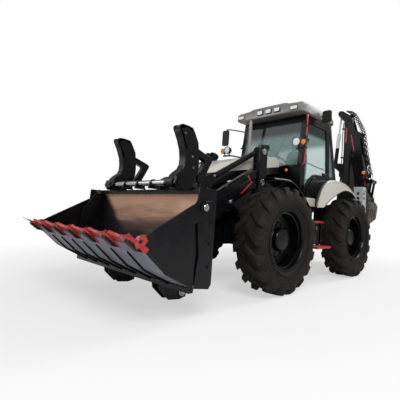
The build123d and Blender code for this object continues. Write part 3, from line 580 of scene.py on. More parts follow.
def pin_head(x, y, z, out, radius=0.042):
    """A retained pin end: a stepped washer and collar, and a bolt across it."""
    steps = ((0, 1), (0.006, 1), (0.007, 0.82), (0.018, 0.8), (0.02, 0.74), (0.02, 0.22), (0.017, 0.2))
    profile = [(0, CORE)] + [(a, radius * share) for a, share in steps] + [(0.017, CORE)]
    return [turned(profile, spot(x, y, z), (0, out, 0), 32),
            bar(spot(x + radius * 0.55, y + out * 0.018, z), (0, out, 0), 0.0, 0.012, 0.009, 6)]


# Loader
ARM_FACE = 0.583
ARM_TOP = ((-0.118, 1.49), (-0.1, 1.6), (-0.02, 1.642), (0.17, 1.655), (0.5, 1.462), (0.86, 1.25),
           (1.08, 1.06), (1.2, 0.775), (1.26, 0.62), (1.37, 0.19), (1.365, 0.11), (1.31, 0.062))
ARM_LOW = ((1.26, 0.064), (1.215, 0.125), (1.08, 0.56), (1.02, 0.7), (0.9, 0.87), (0.56, 1.15),
           (0.34, 1.278), (0.12, 1.4), (0.0, 1.392), (-0.085, 1.42))
ARM_RIB = ((0.2, 1.5), (0.84, 1.15), (0.98, 1.0), (1.12, 0.7), (1.145, 0.7), (1.005, 1.02), (0.86, 1.172),
           (0.22, 1.52))
CHEVRON = ((0.275, 1.565), (0.3, 1.552), (0.222, 1.47), (0.42, 1.302), (0.405, 1.284), (0.18, 1.472))


def make_loader():
    """Smooth-edged arms with welded stiffeners, hydraulic lines and marker stripes."""
    arms, pads, steel, stripes, lines = [], [], [], [], []
    for _, out in SIDES:
        face = out * ARM_FACE
        arms += [plate(ARM_TOP + ARM_LOW, out * 0.507, face), plate(ARM_RIB, face, face + out * 0.007)]
        for x, z in ((0.6, 1.17), (0.98, 0.9)):
            pads.append(disc(spot(x, face, z), (0, out, 0), 0.062, 0.01, 32))
            steel += pin_head(x, face + out * 0.009, z, out, 0.034)
        stripes.append(plate(CHEVRON, out * 0.5832, out * 0.5848))
        for y in (out * 0.52, out * 0.546):
            line = [(0.16, y, 1.676), (0.5, y, 1.482), (0.86, y, 1.268), (1.0, y, 1.17)]
            lines.append(pipe(line, 0.0085, smooth=True))
        for x, z in ((0.3, 1.6), (0.66, 1.39)):
            clip = [(x - 0.02, z - 0.02), (x + 0.02, z - 0.042), (x + 0.024, z - 0.005),
                    (x - 0.014, z + 0.016)]
            lines.append(plate(clip, out * 0.511, out * 0.556))
    cross = bar(spot(1.105, 0, 0.73), (0, 1, 0), -0.512, 0.512, 0.06, 40)
    piece("lift_frame", arms + [cross], "night", "arms", ["loader_arms"], bevel=0.004)
    piece("arm_bosses", pads, "night", "arms", bevel=0.002)
    piece("arm_pins", steel, "chrome", "arms")
    piece("arm_stripes", stripes, "red", "arms", smooth=False)
    piece("arm_lines", lines, "steel", "arms")


def tower_caps():
    """Pin ends and bolt rows on the towers, on the frame itself."""
    steel = []
    for _, out in SIDES:
        for x, z in ((-0.01, 1.5), (-0.02, 1.955)):
            steel += pin_head(x, out * 0.608, z, out, 0.046)
        steel += [bolt(x, out * 0.608, z, out, 0.013, 0.01)
                  for z in (0.93, 1.02, 1.11) for x in (-0.1, 0.09)]
    piece("tower_pins", steel, "chrome")


# Bucket
def make_bucket():
    """The sleeves on the fork shaft, its ears, the wear bolts and the pin ends."""
    shaft = [bar(spot(1.58, 0, 1.315), (0, 1, 0), low, high, 0.0345, 32, 0.031)
             for low, high in ((-0.56, -0.3), (-0.28, -0.01), (0.01, 0.28), (0.3, 0.56))]
    hook = ((1.5, 1.25), (1.64, 1.25), (1.63, 1.31), (1.61, 1.35), (1.575, 1.362), (1.54, 1.35),
            (1.52, 1.31))
    dark = [plate(hook, y - 0.01, y + 0.01) for y in (-0.29, 0.0, 0.29)]
    ends = []
    for _, out in SIDES:
        dark += [bolt(1.475, out * 1.185, z, out, 0.016, 0.01) for z in (0.5, 0.72, 0.94)]
        dark.append(disc(spot(1.58, out * 1.211, 1.06), (0, out, 0), 0.06, 0.012, 32))
        ends += pin_head(1.3, out * 0.616, 0.145, out, 0.05) + pin_head(1.58, out * 1.212, 1.06, out, 0.04)
    piece("fork_shaft", shaft, "chrome", "bucket")
    piece("bucket_ears", dark, "night", "bucket", bevel=0.0015)
    piece("bucket_pins", ends, "chrome", "bucket")


def make_liner():
    """The bucket's inside: a curved, load-polished back sheet with painted shade by its right cheek, between
    thick black cheeks.
    """
    angle = np.linspace(0, np.pi / 2, 13)
    rows = [(1.4475, 1.238), (1.4475, 0.9)]
    rows += [(1.6295 - 0.182 * np.cos(a), 0.555 - 0.195 * np.sin(a)) for a in angle]
    grid = [[spot(x, y, z) for y in np.linspace(-1.164, 1.164, 9)] for x, z in rows]
    piece("bucket_liner", [sheet(grid, 0.003, (1, 0, 0.2))], "copper", "bucket")
    cheek = ((1.45, 0.395), (1.45, 1.24), (1.53, 1.248), (1.6, 1.18), (1.74, 0.96), (1.755, 0.56),
             (1.72, 0.44), (1.66, 0.405))
    cheeks = [plate(cheek, out * 1.146, out * 1.1645) for _, out in SIDES]
    bosses = [bar(spot(1.535, out * 1.155, 1.222), (0, 1, 0), -0.024, 0.02, 0.032, 28) for _, out in SIDES]
    piece("bucket_cheeks", cheeks, "night", "bucket", bevel=0.003)
    piece("bucket_bosses", bosses, "steel", "bucket", bevel=0.002)


def make_clam():
    """The jaw: a worn floor whose bright bluish grey is painted reflection, with a bevelled edge, thin ribs
    beneath, cheeks and a heel bar.
    """
    floor = ((1.662, 0.322), (1.8, 0.39), (1.98, 0.485), (2.24, 0.73), (2.225, 0.755), (1.965, 0.518),
             (1.79, 0.422), (1.655, 0.352))
    cheek = ((1.5, 1.13), (1.64, 1.115), (2.19, 0.8), (2.235, 0.735), (1.98, 0.485), (1.8, 0.39),
             (1.662, 0.322), (1.668, 0.6), (1.7, 0.9), (1.54, 0.99), (1.49, 1.05))
    high = ((1.645, 1.116), (2.19, 0.804), (2.205, 0.79), (2.18, 0.78), (1.64, 1.09))
    low = ((1.675, 0.33), (1.8, 0.392), (1.98, 0.488), (2.18, 0.676), (2.165, 0.69), (1.97, 0.508),
           (1.79, 0.412), (1.675, 0.352))
    rib = ((1.67, 0.322), (1.8, 0.39), (1.98, 0.485), (2.15, 0.65), (2.158, 0.636), (1.986, 0.466),
           (1.806, 0.366), (1.69, 0.306))
    dark = []
    for _, out in SIDES:
        dark.append(plate(cheek, out * 1.191, out * 1.2112))
        dark += [plate(edge, out * 1.18, out * 1.2145) for edge in (high, low)]
    dark += [plate(rib, y - 0.009, y + 0.009) for y in (-0.9, -0.6, -0.3, 0.0, 0.3, 0.6, 0.9)]
    dark.append(pad(1.655, 1.715, -1.211, 1.211, 0.288, 0.345, 0.01, 1))
    piece("clam_floor", [plate(floor, -1.2105, 1.2105)], "floor", "clam", ["clam"], bevel=0.002)
    piece("clam_sides", dark, "night", "clam", bevel=0.003)


TOOTH_Y = [round((k - 3) * 2.344 / 6, 4) for k in range(7)]
LIP = np.array([2.232, 0.748])
SLOPE = np.array([0.26, 0.238]) / np.hypot(0.26, 0.238)
OVER = np.array([-SLOPE[1], SLOPE[0]])


def on_lip(along, y, lift):
    """Points in the cutting edge's own plane: out past the lip, across the machine, and off the plate."""
    along, y, lift = (np.asarray(value)[..., None] for value in np.broadcast_arrays(along, y, lift))
    flat = LIP + along * SLOPE + lift * OVER
    return np.concatenate([flat[..., :1] + FRONT, y, flat[..., 1:]], axis=-1)


def make_teeth():
    """Red scalloped edge plates between the teeth, flat red points, and dark forged adapters under them."""
    plates, points, shanks = [], [], []
    for low, high in zip(TOOTH_Y[:-1], TOOTH_Y[1:]):
        y = np.linspace(low + 0.03, high - 0.03, 15)
        front = 0.095 - 0.04 * np.sin(np.pi * (y - y[0]) / (y[-1] - y[0]))
        corners = ((front, -0.01), (front, 0.016), (-0.105, 0.016), (-0.105, -0.01))
        plates.append(loft(np.stack([on_lip(along, y, lift) for along, lift in corners], axis=1)))
    shank = ((-0.1, -0.014), (-0.04, -0.052), (0.07, -0.058), (0.085, -0.04), (0.09, -0.018), (0.01, -0.008))
    shank = [LIP + SLOPE * along + OVER * lift for along, lift in shank]
    for y in TOOTH_Y:
        rows = []
        for along, half in ((-0.1, 0.044), (0.04, 0.046), (0.14, 0.03), (0.24, 0.006)):
            past = max(along, 0)
            rise = 0.022 - 0.02 * past / 0.205
            drop = (0.026 if along < 0.05 else 0.016) * (past / 0.22 - 1)
            row = on_lip(along, [y - half, y + half, y + half, y - half], [rise, rise, drop, drop])
            rows.append(row - (0, 0, 0.33 * past))
        points.append(loft(rows))
        shanks.append(plate(shank, y - 0.034, y + 0.034))
    cheek = ((2.165, 0.765), (2.195, 0.815), (2.238, 0.802), (2.278, 0.745), (2.258, 0.706), (2.205, 0.718))
    hole = ((2.21, 0.768), (2.236, 0.782), (2.25, 0.756), (2.224, 0.742))
    for _, out in SIDES:
        plates.append(plate(cheek, out * 1.178, out * 1.224))
        shanks.append(plate(hole, out * 1.2235, out * 1.226))
    piece("edge_plates", plates, "red", "clam", bevel=0.0015)
    piece("tooth_points", points, "red", "clam", bevel=0.0015)
    piece("tooth_shanks", shanks, "tank", "clam", bevel=0.003)


FORK_BLADE = ((1.625, 1.285), (1.642, 1.305), (1.6, 1.4), (1.52, 1.465), (1.494, 1.52), (1.49, 1.59),
              (1.505, 1.685), (1.55, 1.8), (1.604, 1.905), (1.6, 1.935), (1.566, 1.952), (1.5, 1.953),
              (1.425, 1.942), (1.395, 1.905), (1.33, 1.79), (1.308, 1.66), (1.3, 1.56), (1.302, 1.47),
              (1.33, 1.39), (1.372, 1.33), (1.44, 1.29), (1.53, 1.262), (1.59, 1.262))
FORK_FACE = ((1.502, 1.69), (1.547, 1.802), (1.6, 1.905), (1.563, 1.95), (1.42, 1.94), (1.4, 1.9),
             (1.5, 1.925), (1.565, 1.9), (1.47, 1.69))
FORK_BRACE = ((1.312, 1.652), (1.328, 1.735), (1.12, 1.662), (1.084, 1.64), (1.088, 1.612), (1.214, 1.35),
              (1.286, 1.345), (1.292, 1.39), (1.19, 1.59), (1.2, 1.608))


def make_fork(side, out):
    """One folded-up pallet fork: a swept blade with rounded edges, a recessed web and a bent brace bar."""
    y0, y1 = span(out, 0.615, 0.735)
    middle = np.mean(FORK_BLADE, axis=0)
    shapes = [plate(FORK_BLADE, y0, y0 + 0.016), plate(FORK_BLADE, y1 - 0.016, y1),
              plate(middle + (np.array(FORK_BLADE) - middle) * 0.9, y0 + 0.014, y1 - 0.014),
              plate(FORK_FACE, y0, y1), plate(FORK_BRACE, y0 + 0.022, y1 - 0.022),
              bar(spot(1.58, out * 0.675, 1.315), (0, 1, 0), -0.058, 0.058, 0.068, 40, 0.0322)]
    piece(f"fork_blade_{side}", shapes, "night", f"fork_{side}", [f"fork_{side}"], bevel=0.004)
    studs = [disc(spot(x, out * 0.733, z), (0, out, 0), 0.014, 0.004, 16)
             for x, z in ((1.4, 1.62), (1.38, 1.5), (1.52, 1.86))]
    piece(f"fork_studs_{side}", studs, "steel", f"fork_{side}")


make_loader()
tower_caps()
make_bucket()
make_teeth()
make_liner()
make_clam()
for name, side in SIDES:
    make_fork(name, side)


# Cab
# The roof's cross sections from the front edge back, as (x, half width, underside, edge height, crown)
ROOF = ((-0.77, 0.65, 2.8, 2.88, 2.905), (-0.785, 0.706, 2.792, 2.925, 2.96),
        (-0.85, 0.732, 2.794, 2.97, 3.01), (-1.0, 0.742, 2.8, 2.984, 3.02),
        (-1.3, 0.744, 2.806, 2.992, 3.028), (-1.6, 0.744, 2.816, 2.994, 3.03),
        (-1.85, 0.738, 2.826, 2.98, 3.02), (-2.0, 0.718, 2.834, 2.945, 2.985),
        (-2.072, 0.67, 2.845, 2.905, 2.935))


def roof_shell():
    """Rounded sections lofted from front to back: a rounded edge, a shallow gutter and a raised middle."""
    rows = []
    for x, half, low, edge, crown in ROOF:
        rise = crown - edge
        loop = [(0, low), (half - 0.03, low), (half, low + 0.018), (half, (low + edge) / 2),
                (half - 0.004, edge - 0.012), (half - 0.022, edge), (half - 0.06, edge + 0.006),
                (half - 0.09, edge + 0.002), (half - 0.2, edge + rise * 0.25), (0.43, edge + rise * 0.42),
                (0.385, edge + rise * 0.95), (0.33, crown), (0, crown + 0.003)]
        rows.append([spot(x, y, z) for y, z in loop + [(-y, z) for y, z in loop[-2:0:-1]]])
    return loft(rows)


def work_lamp(x, y, z, facing, width, height):
    """A square work lamp: a deep black housing with cooling fins."""
    fins = np.linspace(-width * 0.36, width * 0.36, 5)
    x0, x1 = sorted((x + FRONT - 0.06 * facing, x + FRONT - 0.044 * facing))
    body = pad(x - 0.045 * facing, x, y - width / 2, y + width / 2, z - height / 2, z + height / 2, 0.012)
    return [body] + [brick(x0, x1, y + k - 0.003, y + k + 0.003, z - height * 0.4, z + height * 0.4)
                     for k in fins]


def lamp_glass(x, y, z, facing, width, height):
    return pad(*sorted((x, x + 0.006 * facing)), y - width / 2, y + width / 2, z - height / 2,
               z + height / 2, 0.01)


# Work lamps along the roof, as (x, height, facing, body size, glass size, places across)
WORK_LAMPS = ((-0.752, 2.88, 1, (0.13, 0.085), (0.108, 0.066), (-0.13, 0.06, 0.25)),
              (-0.762, 2.858, 1, (0.15, 0.07), (0.132, 0.054), (-0.6, 0.6)),
              (-2.098, 2.875, -1, (0.12, 0.07), (0.104, 0.054), (-0.55, 0.55)))


def make_roof():
    piece("roof_cap", [roof_shell()], "roof", replaces=["cab_roof"], angle=50)
    lamps, glass = [], []
    for x, z, facing, body, face, places in WORK_LAMPS:
        for y in places:
            lamps += work_lamp(x, y, z, facing, *body)
            glass.append(lamp_glass(x, y, z, facing, *face))
    piece("work_lamps", lamps, "plastic", bevel=0.002)
    piece("work_lenses", glass, "lens")


make_roof()


def inset(outline, distance):
    """The outline with every edge moved inward by a distance; neighbouring edges meet at their crossing."""
    p = np.asarray(outline, float)
    edge = np.roll(p, -1, axis=0) - p
    normal = np.column_stack([-edge[:, 1], edge[:, 0]]) / np.linalg.norm(edge, axis=1)[:, None]
    turn = np.sign(np.sum(p[:, 0] * np.roll(p[:, 1], -1) - np.roll(p[:, 0], -1) * p[:, 1]))
    start = p + normal * distance * turn
    before = np.roll(edge, 1, axis=0)
    gap = start - np.roll(start, 1, axis=0)
    cross = before[:, 0] * edge[:, 1] - before[:, 1] * edge[:, 0]
    along = (gap[:, 0] * edge[:, 1] - gap[:, 1] * edge[:, 0]) / cross
    return np.roll(start, 1, axis=0) + before * along[:, None]


def band(outline, width, low, high):
    """A frame of one width inside an outline, from low to high across the machine."""
    outer, inner = np.asarray(outline, float), inset(outline, width)
    loops = [np.column_stack([loop[:, 0], np.full(len(loop), y), loop[:, 1]]) for loop, y in
             ((outer, low), (inner, low), (inner, high), (outer, high))]
    return np.stack(loops, axis=1).reshape(-1, 3), weave(len(outer), 4, True, True).tolist()


DOOR = ((-0.975, 1.385), (-0.99, 1.86), (-1.07, 2.7), (-1.8, 2.72), (-1.86, 1.76), (-1.42, 1.745),
        (-1.325, 1.725), (-1.217, 1.657), (-1.111, 1.547), (-1.032, 1.392))
QUARTER = ((-1.905, 1.8), (-1.85, 2.7), (-1.9, 2.7), (-2.13, 1.8))


def make_door(side, out):
    """A framed pane with hinges, a seal, a grip and a rail across its inside."""
    outline = ahead(DOOR)
    body = f"door_{side}"
    shapes = [band(outline, 0.042, *span(out, 0.662, 0.7))]
    for z in (1.5, 2.32):
        shapes.append(pad(-1.09, -1.045, *span(out, 0.698, 0.729), z + 0.004, z + 0.048, 0.008, 1))
        shapes.append(pad(-1.062, -0.986, *span(out, 0.711, 0.729), z + 0.004, z + 0.048, 0.008, 1))
        shapes.append(bar(spot(-0.985, out * 0.72, z), (0, 0, 1), 0.003, 0.049, 0.0145, 20, 0.0101))
    piece(f"door_frame_{side}", shapes, "night", body, [body], bevel=0.003)
    piece(f"door_pane_{side}", [slab(inset(outline, 0.038), *span(out, 0.672, 0.68))], "glass", body)
    grip = [pad(-1.8, -1.62, *span(out, 0.699, 0.712), 1.8, 1.85, 0.018, 1),
            pipe([(-1.775, out * 0.706, 1.825), (-1.765, out * 0.735, 1.825), (-1.655, out * 0.735, 1.825),
                  (-1.645, out * 0.706, 1.825)], 0.009),
            pipe([(-1.03, out * 0.655, 1.98), (-1.4, out * 0.648, 1.955), (-1.79, out * 0.655, 1.93)], 0.011,
                 10, True)]
    piece(f"door_grip_{side}", grip, "plastic", body, bevel=0.002)
    seal = band(inset(outline, 0.04), 0.01, *span(out, 0.68, 0.684))
    piece(f"door_seal_{side}", [seal], "plastic", body, smooth=False)


def make_cab_trim():
    """Grab rail with its sleeves, quarter-pane gaskets and the wiper."""
    rail = ((-0.99, 0.712, 2.77), (-0.985, 0.745, 2.74), (-0.965, 0.748, 2.42), (-0.94, 0.748, 2.08),
            (-0.918, 0.745, 1.93), (-0.912, 0.712, 1.9))
    piece("grab_rail", [pipe(rail, 0.0135, 14, True)], "red")
    black = [pipe([(-0.945 - (z - 2.08) * 0.062, 0.748, z) for z in ends], 0.0165, 14)
             for ends in ((2.28, 2.4), (1.99, 2.05), (2.55, 2.58))]
    black += [band(ahead(QUARTER), 0.012, *span(out, 0.69, 0.703)) for _, out in SIDES]
    black += [pipe([(-0.935, 0.1, 1.985), (-0.955, 0.22, 2.22), (-0.978, 0.3, 2.42)], 0.007, 8, True),
              pipe([(-0.958, 0.27, 2.16), (-1.0, 0.33, 2.6)], 0.006, 8),
              disc(spot(-0.905, 0.1, 1.97), (1, 0, 0.1), 0.03, 0.024, 20)]
    piece("cab_trim", black, "plastic")


def make_lamps():
    """Head lamps and turn lamps on their arms, with domed glasses."""
    shell = ((-1, 0.45), (-0.75, 0.8), (-0.3, 0.97))
    lip = ((-0.006, 1), (0.0, 0.985), (0.0, 0.9), (-0.008, 0.86))
    shells, faces, amber = [], [], []
    for _, out in SIDES:
        for x, y, z, radius, depth, group in ((-0.602, 0.775, 2.215, 0.075, 0.098, faces),
                                              (-0.617, 0.897, 2.205, 0.053, 0.072, amber)):
            centre = spot(x, out * y, z)
            profile = [(-depth, CORE)] + [(a * depth, radius * share) for a, share in shell]
            profile += [(a, radius * share) for a, share in lip] + [(-0.008, CORE)]
            shells.append(turned(profile, centre, (1, 0, 0), 40))
            shells.append(pipe([(-0.677, out * y, 2.125), (-0.677, out * y, 2.17)], 0.011))
            group.append(disc(np.array(centre) - (0.008, 0, 0), (1, 0, 0), radius * 0.86, 0.002, 40,
                              radius * 0.1))
        shells.append(pad(-0.7, -0.655, *span(out, 0.74, 0.93), 2.11, 2.132, 0.008, 2))
        shells.append(pipe([(-0.94, out * 0.69, 2.121), (-0.677, out * 0.76, 2.121)], 0.0145, 12))
    amber.append(disc(spot(-0.69, 0.552, 1.78), (1, 0.5, 0), 0.023, 0.006, 24, dome=0.006))
    piece("lamp_shells", shells, "plastic", replaces=["head_lamps"])
    piece("lamp_faces", faces, "lens")
    piece("lamp_ambers", amber, "amber")


def make_mirrors():
    """Two mirrors with their arms: one at the right front pillar, one high on the left."""
    arms = [pad(-0.722, -0.688, -1.008, -0.852, 2.332, 2.638, 0.035),
            pipe([(-1.025, -0.705, 2.65), (-0.96, -0.76, 2.66), (-0.76, -0.865, 2.66), (-0.705, -0.9, 2.645),
                  (-0.705, -0.905, 2.6)], 0.0115, 12, True),
            pad(-1.05, -1.01, -0.72, -0.698, 2.63, 2.67, 0.008, 1),
            pad(-1.47, -1.444, 0.77, 0.95, 2.74, 2.96, 0.045),
            pipe([(-1.455, 0.735, 2.86), (-1.455, 0.78, 2.86)], 0.014, 12)]
    faces = [pad(-0.7245, -0.7225, -0.995, -0.865, 2.346, 2.624, 0.026),
             pad(-1.4725, -1.47, 0.782, 0.938, 2.752, 2.948, 0.036)]
    piece("mirror_arms", arms, "plastic", replaces=["mirrors"], bevel=0.002)
    piece("mirror_faces", faces, "chrome")


def cushion(place, size, sharp=0.35, lean=0.0):
    """A crowned closed form: each coordinate is the sine or cosine of its angle raised to a small power."""
    u = np.linspace(-np.pi / 2, np.pi / 2, 25)[:, None]
    v = np.linspace(0, 2 * np.pi, 48, endpoint=False)[None, :]
    power = lambda value, e: np.sign(value) * np.abs(value) ** e
    x = power(np.cos(u), sharp) * power(np.cos(v), sharp) * size[0] / 2
    y = power(np.cos(u), sharp) * power(np.sin(v), sharp) * size[1] / 2
    z = power(np.sin(u), 0.6) * np.ones_like(v) * size[2] / 2
    points = np.stack([x + z * lean, y, z], axis=-1).reshape(-1, 3) + np.asarray(spot(*place))
    return points, weave(25, 48, False, True).tolist()


def make_seat():
    """A padded cushion, back and head rest."""
    for name, place, size, sharp, lean in (("seat_cushion", (-1.6, 0, 1.735), (0.48, 0.5, 0.13), 0.35, 0.0),
                                           ("seat_back", (-1.83, 0, 2.06), (0.14, 0.47, 0.62), 0.4, -0.1),
                                           ("head_rest", (-1.885, 0, 2.43), (0.1, 0.28, 0.16), 0.5, -0.05)):
        stands_for = ["cab_interior"] if name == "seat_cushion" else ()
        piece(name, [cushion(place, size, sharp, lean)], "cloth", replaces=stands_for)


WHEEL_HUB = (-1.19, 0, 2.01)


def make_console():
    """The dashboard, a side console with two levers, the steering column and wheel, and the seat's base."""
    hub = np.array(spot(*WHEEL_HUB))
    axis = np.array((-0.1, 0, 0.16)) / np.hypot(0.1, 0.16)
    side = np.cross(axis, (0, 1, 0))
    around = np.linspace(0, 2 * np.pi, 12, endpoint=False)
    ring = [(0.016 * np.sin(a), 0.19 + 0.016 * np.cos(a)) for a in around]
    hard = [pad(-1.85, -1.38, -0.2, 0.2, 1.582, 1.66, 0.03, 1),
            pad(-1.09, -0.985, -0.26, 0.26, 1.212, 1.9, 0.04, 0),
            pad(-1.88, -1.22, -0.615, -0.37, 1.62, 1.94, 0.05, 0),
            pad(-1.42, -1.22, -0.615, -0.37, 1.212, 1.64, 0.03, 0),
            pipe([(-1.085, 0, 1.84), (-1.13, 0, 1.92), (-1.182, 0, 2.0)], 0.03, 16, True),
            turned(ring, hub, axis, 64)]
    for a in (0.5, 2.64, 4.71):
        spoke = hub + 0.188 * (np.cos(a) * np.array((0, 1, 0)) + np.sin(a) * side)
        hard.append(tube([hub, spoke], 0.011, 8, smooth=False))
    hard.append(disc(hub - axis * 0.02, axis, 0.045, 0.035, 24, dome=0.01))
    for y in (-0.55, -0.45):
        hard.append(pipe([(-1.45, y, 1.94), (-1.44, y, 2.1)], 0.008, 8))
        hard.append(disc(spot(-1.44, y, 2.09), (0, 0, 1), 0.02, 0.03, 16, dome=0.018))
    piece("cab_console", hard, "plastic", bevel=0.003)


for name, side in SIDES:
    make_door(name, side)
make_cab_trim()
make_lamps()
make_mirrors()
make_seat()
make_console()


# Fender edges in side view, from the sill up and back: the outer one, the one at the cab, and the arch
FENDER_OUTER = ((-1.03, 1.206), (-1.08, 1.35), (-1.17, 1.5), (-1.3, 1.615), (-1.45, 1.68), (-1.75, 1.71),
                (-2.1, 1.68), (-2.35, 1.6), (-2.6, 1.48))
FENDER_INNER = ((-1.4, 1.235), (-1.45, 1.38), (-1.57, 1.55), (-1.7, 1.65), (-1.86, 1.728), (-2.0, 1.745),
                (-2.2, 1.715), (-2.4, 1.625), (-2.6, 1.49))
FENDER_ARCH = ((-1.25, 1.206), (-1.4, 1.31), (-1.6, 1.41), (-1.8, 1.49), (-2.06, 1.56), (-2.33, 1.545),
               (-2.56, 1.45))
FRONT_GUARD = ((0.06, 1.552), (-0.18, 1.566), (-0.35, 1.562), (-0.5, 1.515), (-0.64, 1.43), (-0.8, 1.315),
               (-0.905, 1.23), (-0.95, 1.19))


def side_curve(outline, y):
    return curve_through(np.array([spot(x, y, z) for x, z in outline]), 8)


def make_rear_fender(side, out):
    """A full-width pressed sheet whose front edge sweeps back to the cab, with a rolled rim and a liner."""
    outer, inner = side_curve(FENDER_OUTER, 0.97), side_curve(FENDER_INNER, 0.702)
    share = np.array([0.0, 0.25, 0.5, 0.75, 0.9, 0.97, 1.0])[None, :, None]
    grid = inner[:, None] * (1 - share) + outer[:, None] * share
    grid[:, :, 2] += np.array([0.0, 0.008, 0.012, 0.008, 0.003, -0.003, -0.014])
    grid[:, :, 1] *= out
    arch = side_curve(FENDER_ARCH, 0.966)
    keep = np.linspace(0, len(outer) - 1, len(arch)).round().astype(int)
    skirt = np.stack([outer[keep] * (1, 0.995, 1) - (0, 0, 0.01), arch], axis=1)
    skirt[:, :, 1] *= out
    piece(f"fender_shell_{side}", [sheet(grid, 0.012), sheet(skirt, 0.01, (0, -out, 0))], "cream",
          replaces=["rear_fenders"] if out > 0 else (), bevel=0.003, angle=40)
    liner = [(x, z) for x, _, z in arch] + [(x, z + 0.018) for x, _, z in arch[::-1]]
    rim = [tube(arch * (1, out, 1), 0.007, 10, smooth=False), slab(liner, *span(out, 0.704, 0.962))]
    piece(f"fender_rim_{side}", rim, "plastic")
    seam = grid[4:30, 4] + (0, 0, 0.0015)
    piece(f"fender_line_{side}", [tube(seam, 0.003, 8, smooth=False)], "silver")


def make_front_fender(side, out):
    """A glossy mudguard in one sweep from the tower back to the sill, with a rolled edge, on stays."""
    across = np.array([0.64, 0.7, 0.78, 0.85, 0.88, 0.89])
    grid = np.repeat(side_curve(FRONT_GUARD, 0.0)[:, None], len(across), axis=1)
    grid[:, :, 1] = out * across
    grid[:, :, 2] += np.array([0.0, 0.006, 0.007, 0.003, -0.006, -0.022])
    piece(f"front_guard_{side}", [sheet(grid, 0.01)], "night", replaces=["front_fenders"] if out > 0 else (),
          bevel=0.003)
    web = ((-0.2, 1.545), (-0.33, 1.553), (-0.35, 1.5), (-0.62, 1.395), (-0.66, 1.42), (-0.5, 1.512),
           (-0.35, 1.558))
    stay = [(-0.54, out * 0.345, 1.055), (-0.54, out * 0.395, 1.06), (-0.54, out * 0.395, 1.4),
            (-0.52, out * 0.62, 1.5), (-0.51, out * 0.82, 1.512)]
    shapes = [tube(grid[:, -1] - (0, 0, 0.006), 0.006, 10, smooth=False),
              plate(web, out * 0.378, out * 0.396), pipe(stay, 0.017, 12, True),
              pipe([(-0.3, out * 0.39, 1.545), (-0.3, out * 0.85, 1.552)], 0.014),
              pipe([(-0.78, out * 0.66, 1.318), (-0.78, out * 0.85, 1.318)], 0.014)]
    piece(f"guard_stays_{side}", shapes, "plastic")


# Treads of the steps, as (rear, front, inner side, outer side, height)
STEPS = ((-1.36, -0.93, 0.64, 0.92, 0.941), (-1.36, -0.9, 0.8, 1.06, 0.545))


def make_sides():
    """Cream sill panels, the tank and tool boxes, and red non-slip steps."""
    sills, boxes, steps, bolts, straps = [], [], [], [], []
    panel = ((-1.2, 1.235), (-0.985, 1.235), (-0.985, 1.335), (-1.2, 1.335))
    for _, out in SIDES:
        sills.append(pad(-1.243, -0.97, *span(out, 0.701, 0.794), 1.212, 1.353, 0.012))
        sills.append(plate(panel, out * 0.794, out * 0.799))
        boxes.append(pad(-1.362, -0.928, *span(out, 0.348, 0.882), 0.594, 0.941, 0.03, 1))
        straps += [pad(x - 0.02, x + 0.02, *span(out, 0.346, 0.886), 0.59, 0.945, 0.032, 1)
                   for x in (-1.27, -1.02)]
        for x0, x1, y0, y1, z in STEPS:
            steps.append(pad(x0, x1, *span(out, y0, y1), z, z + 0.028, 0.012, 2))
            low, high = x0 + FRONT + 0.02, x1 + FRONT - 0.02
            steps += [brick(low, high, *span(out, row, row + 0.012), z + 0.027, z + 0.036)
                      for row in np.linspace(y0 + 0.03, y1 - 0.03, 6)]
        steps += [pad(x - 0.012, x + 0.012, *span(out, 0.78, 0.83), 0.545, 0.61, 0.01, 0)
                  for x in (-1.34, -0.94)]
        boxes.append(brick(FRONT - 1.3, FRONT - 1.0, *span(out, 0.64, 0.66), 0.94, 1.15))
        bolts += [bolt(x, out * 0.8815, z, out) for x in (-1.32, -0.97) for z in (0.64, 0.9)]
        bolts.append(disc(spot(-1.145, out * 0.8815, 0.86), (0, out, 0), 0.03, 0.012, 24, dome=0.004))
    piece("sill_panels", sills, "cream", bevel=0.004)
    piece("side_boxes", boxes, "tank", replaces=["step_boxes"], bevel=0.004)
    piece("box_straps", straps, "steel", bevel=0.002)
    piece("side_steps", steps, "red", bevel=0.0015)
    piece("box_bolts", bolts, "steel")


def make_rear():
    """Holes and bolts on the stabilizer heads, tail lamp boxes and the roof's rear boxes."""
    holes, bolts, tail = [], [], []
    ring = ((-0.001, CORE), (-0.001, 0.026), (0.004, 0.03), (0.004, 0.021), (0.001, 0.018), (0.001, CORE))
    for _, out in SIDES:
        for z in (1.5, 1.6):
            holes.append(turned(ring, spot(-3.13, out * 0.91, z), (0, out, 0), 28))
            holes.append(turned(ring, spot(-3.06, out * 0.81, z), (1, 0, 0), 28))
        bolts += [bolt(x, out * 0.91, z, out) for z in (0.5, 0.62, 1.66) for x in (-3.21, -3.09)]
        tail.append(pad(-3.052, -3.03, *span(out, 0.73, 0.89), 1.2, 1.38, 0.02))
    piece("head_holes", holes, "plastic")
    piece("head_bolts", bolts, "steel")
    piece("tail_boxes", tail, "plastic", bevel=0.002)
    boxes = [pad(-2.092, -2.0, *span(out, 0.5, 0.64), 2.7, 2.8, 0.015) for _, out in SIDES]
    piece("roof_boxes", boxes, "roof", bevel=0.004)


for name, side in SIDES:
    make_rear_fender(name, side)
for name, side in SIDES:
    make_front_fender(name, side)
make_sides()
make_rear()


# Digging arm, folded to the side: its points are (reach to the left, height) in its own plane
ARM_X = FRONT - 3.56


def arm_plate(outline, x0, x1):
    """A plate of the digging arm between two distances along the machine from the arm's plane."""
    return slab(outline, ARM_X + x0, ARM_X + x1, 0)


def arm_pair(outline, x0, x1):
    """The same plate on both sides of the arm's plane."""
    return [arm_plate(outline, -x1, -x0), arm_plate(outline, x0, x1)]


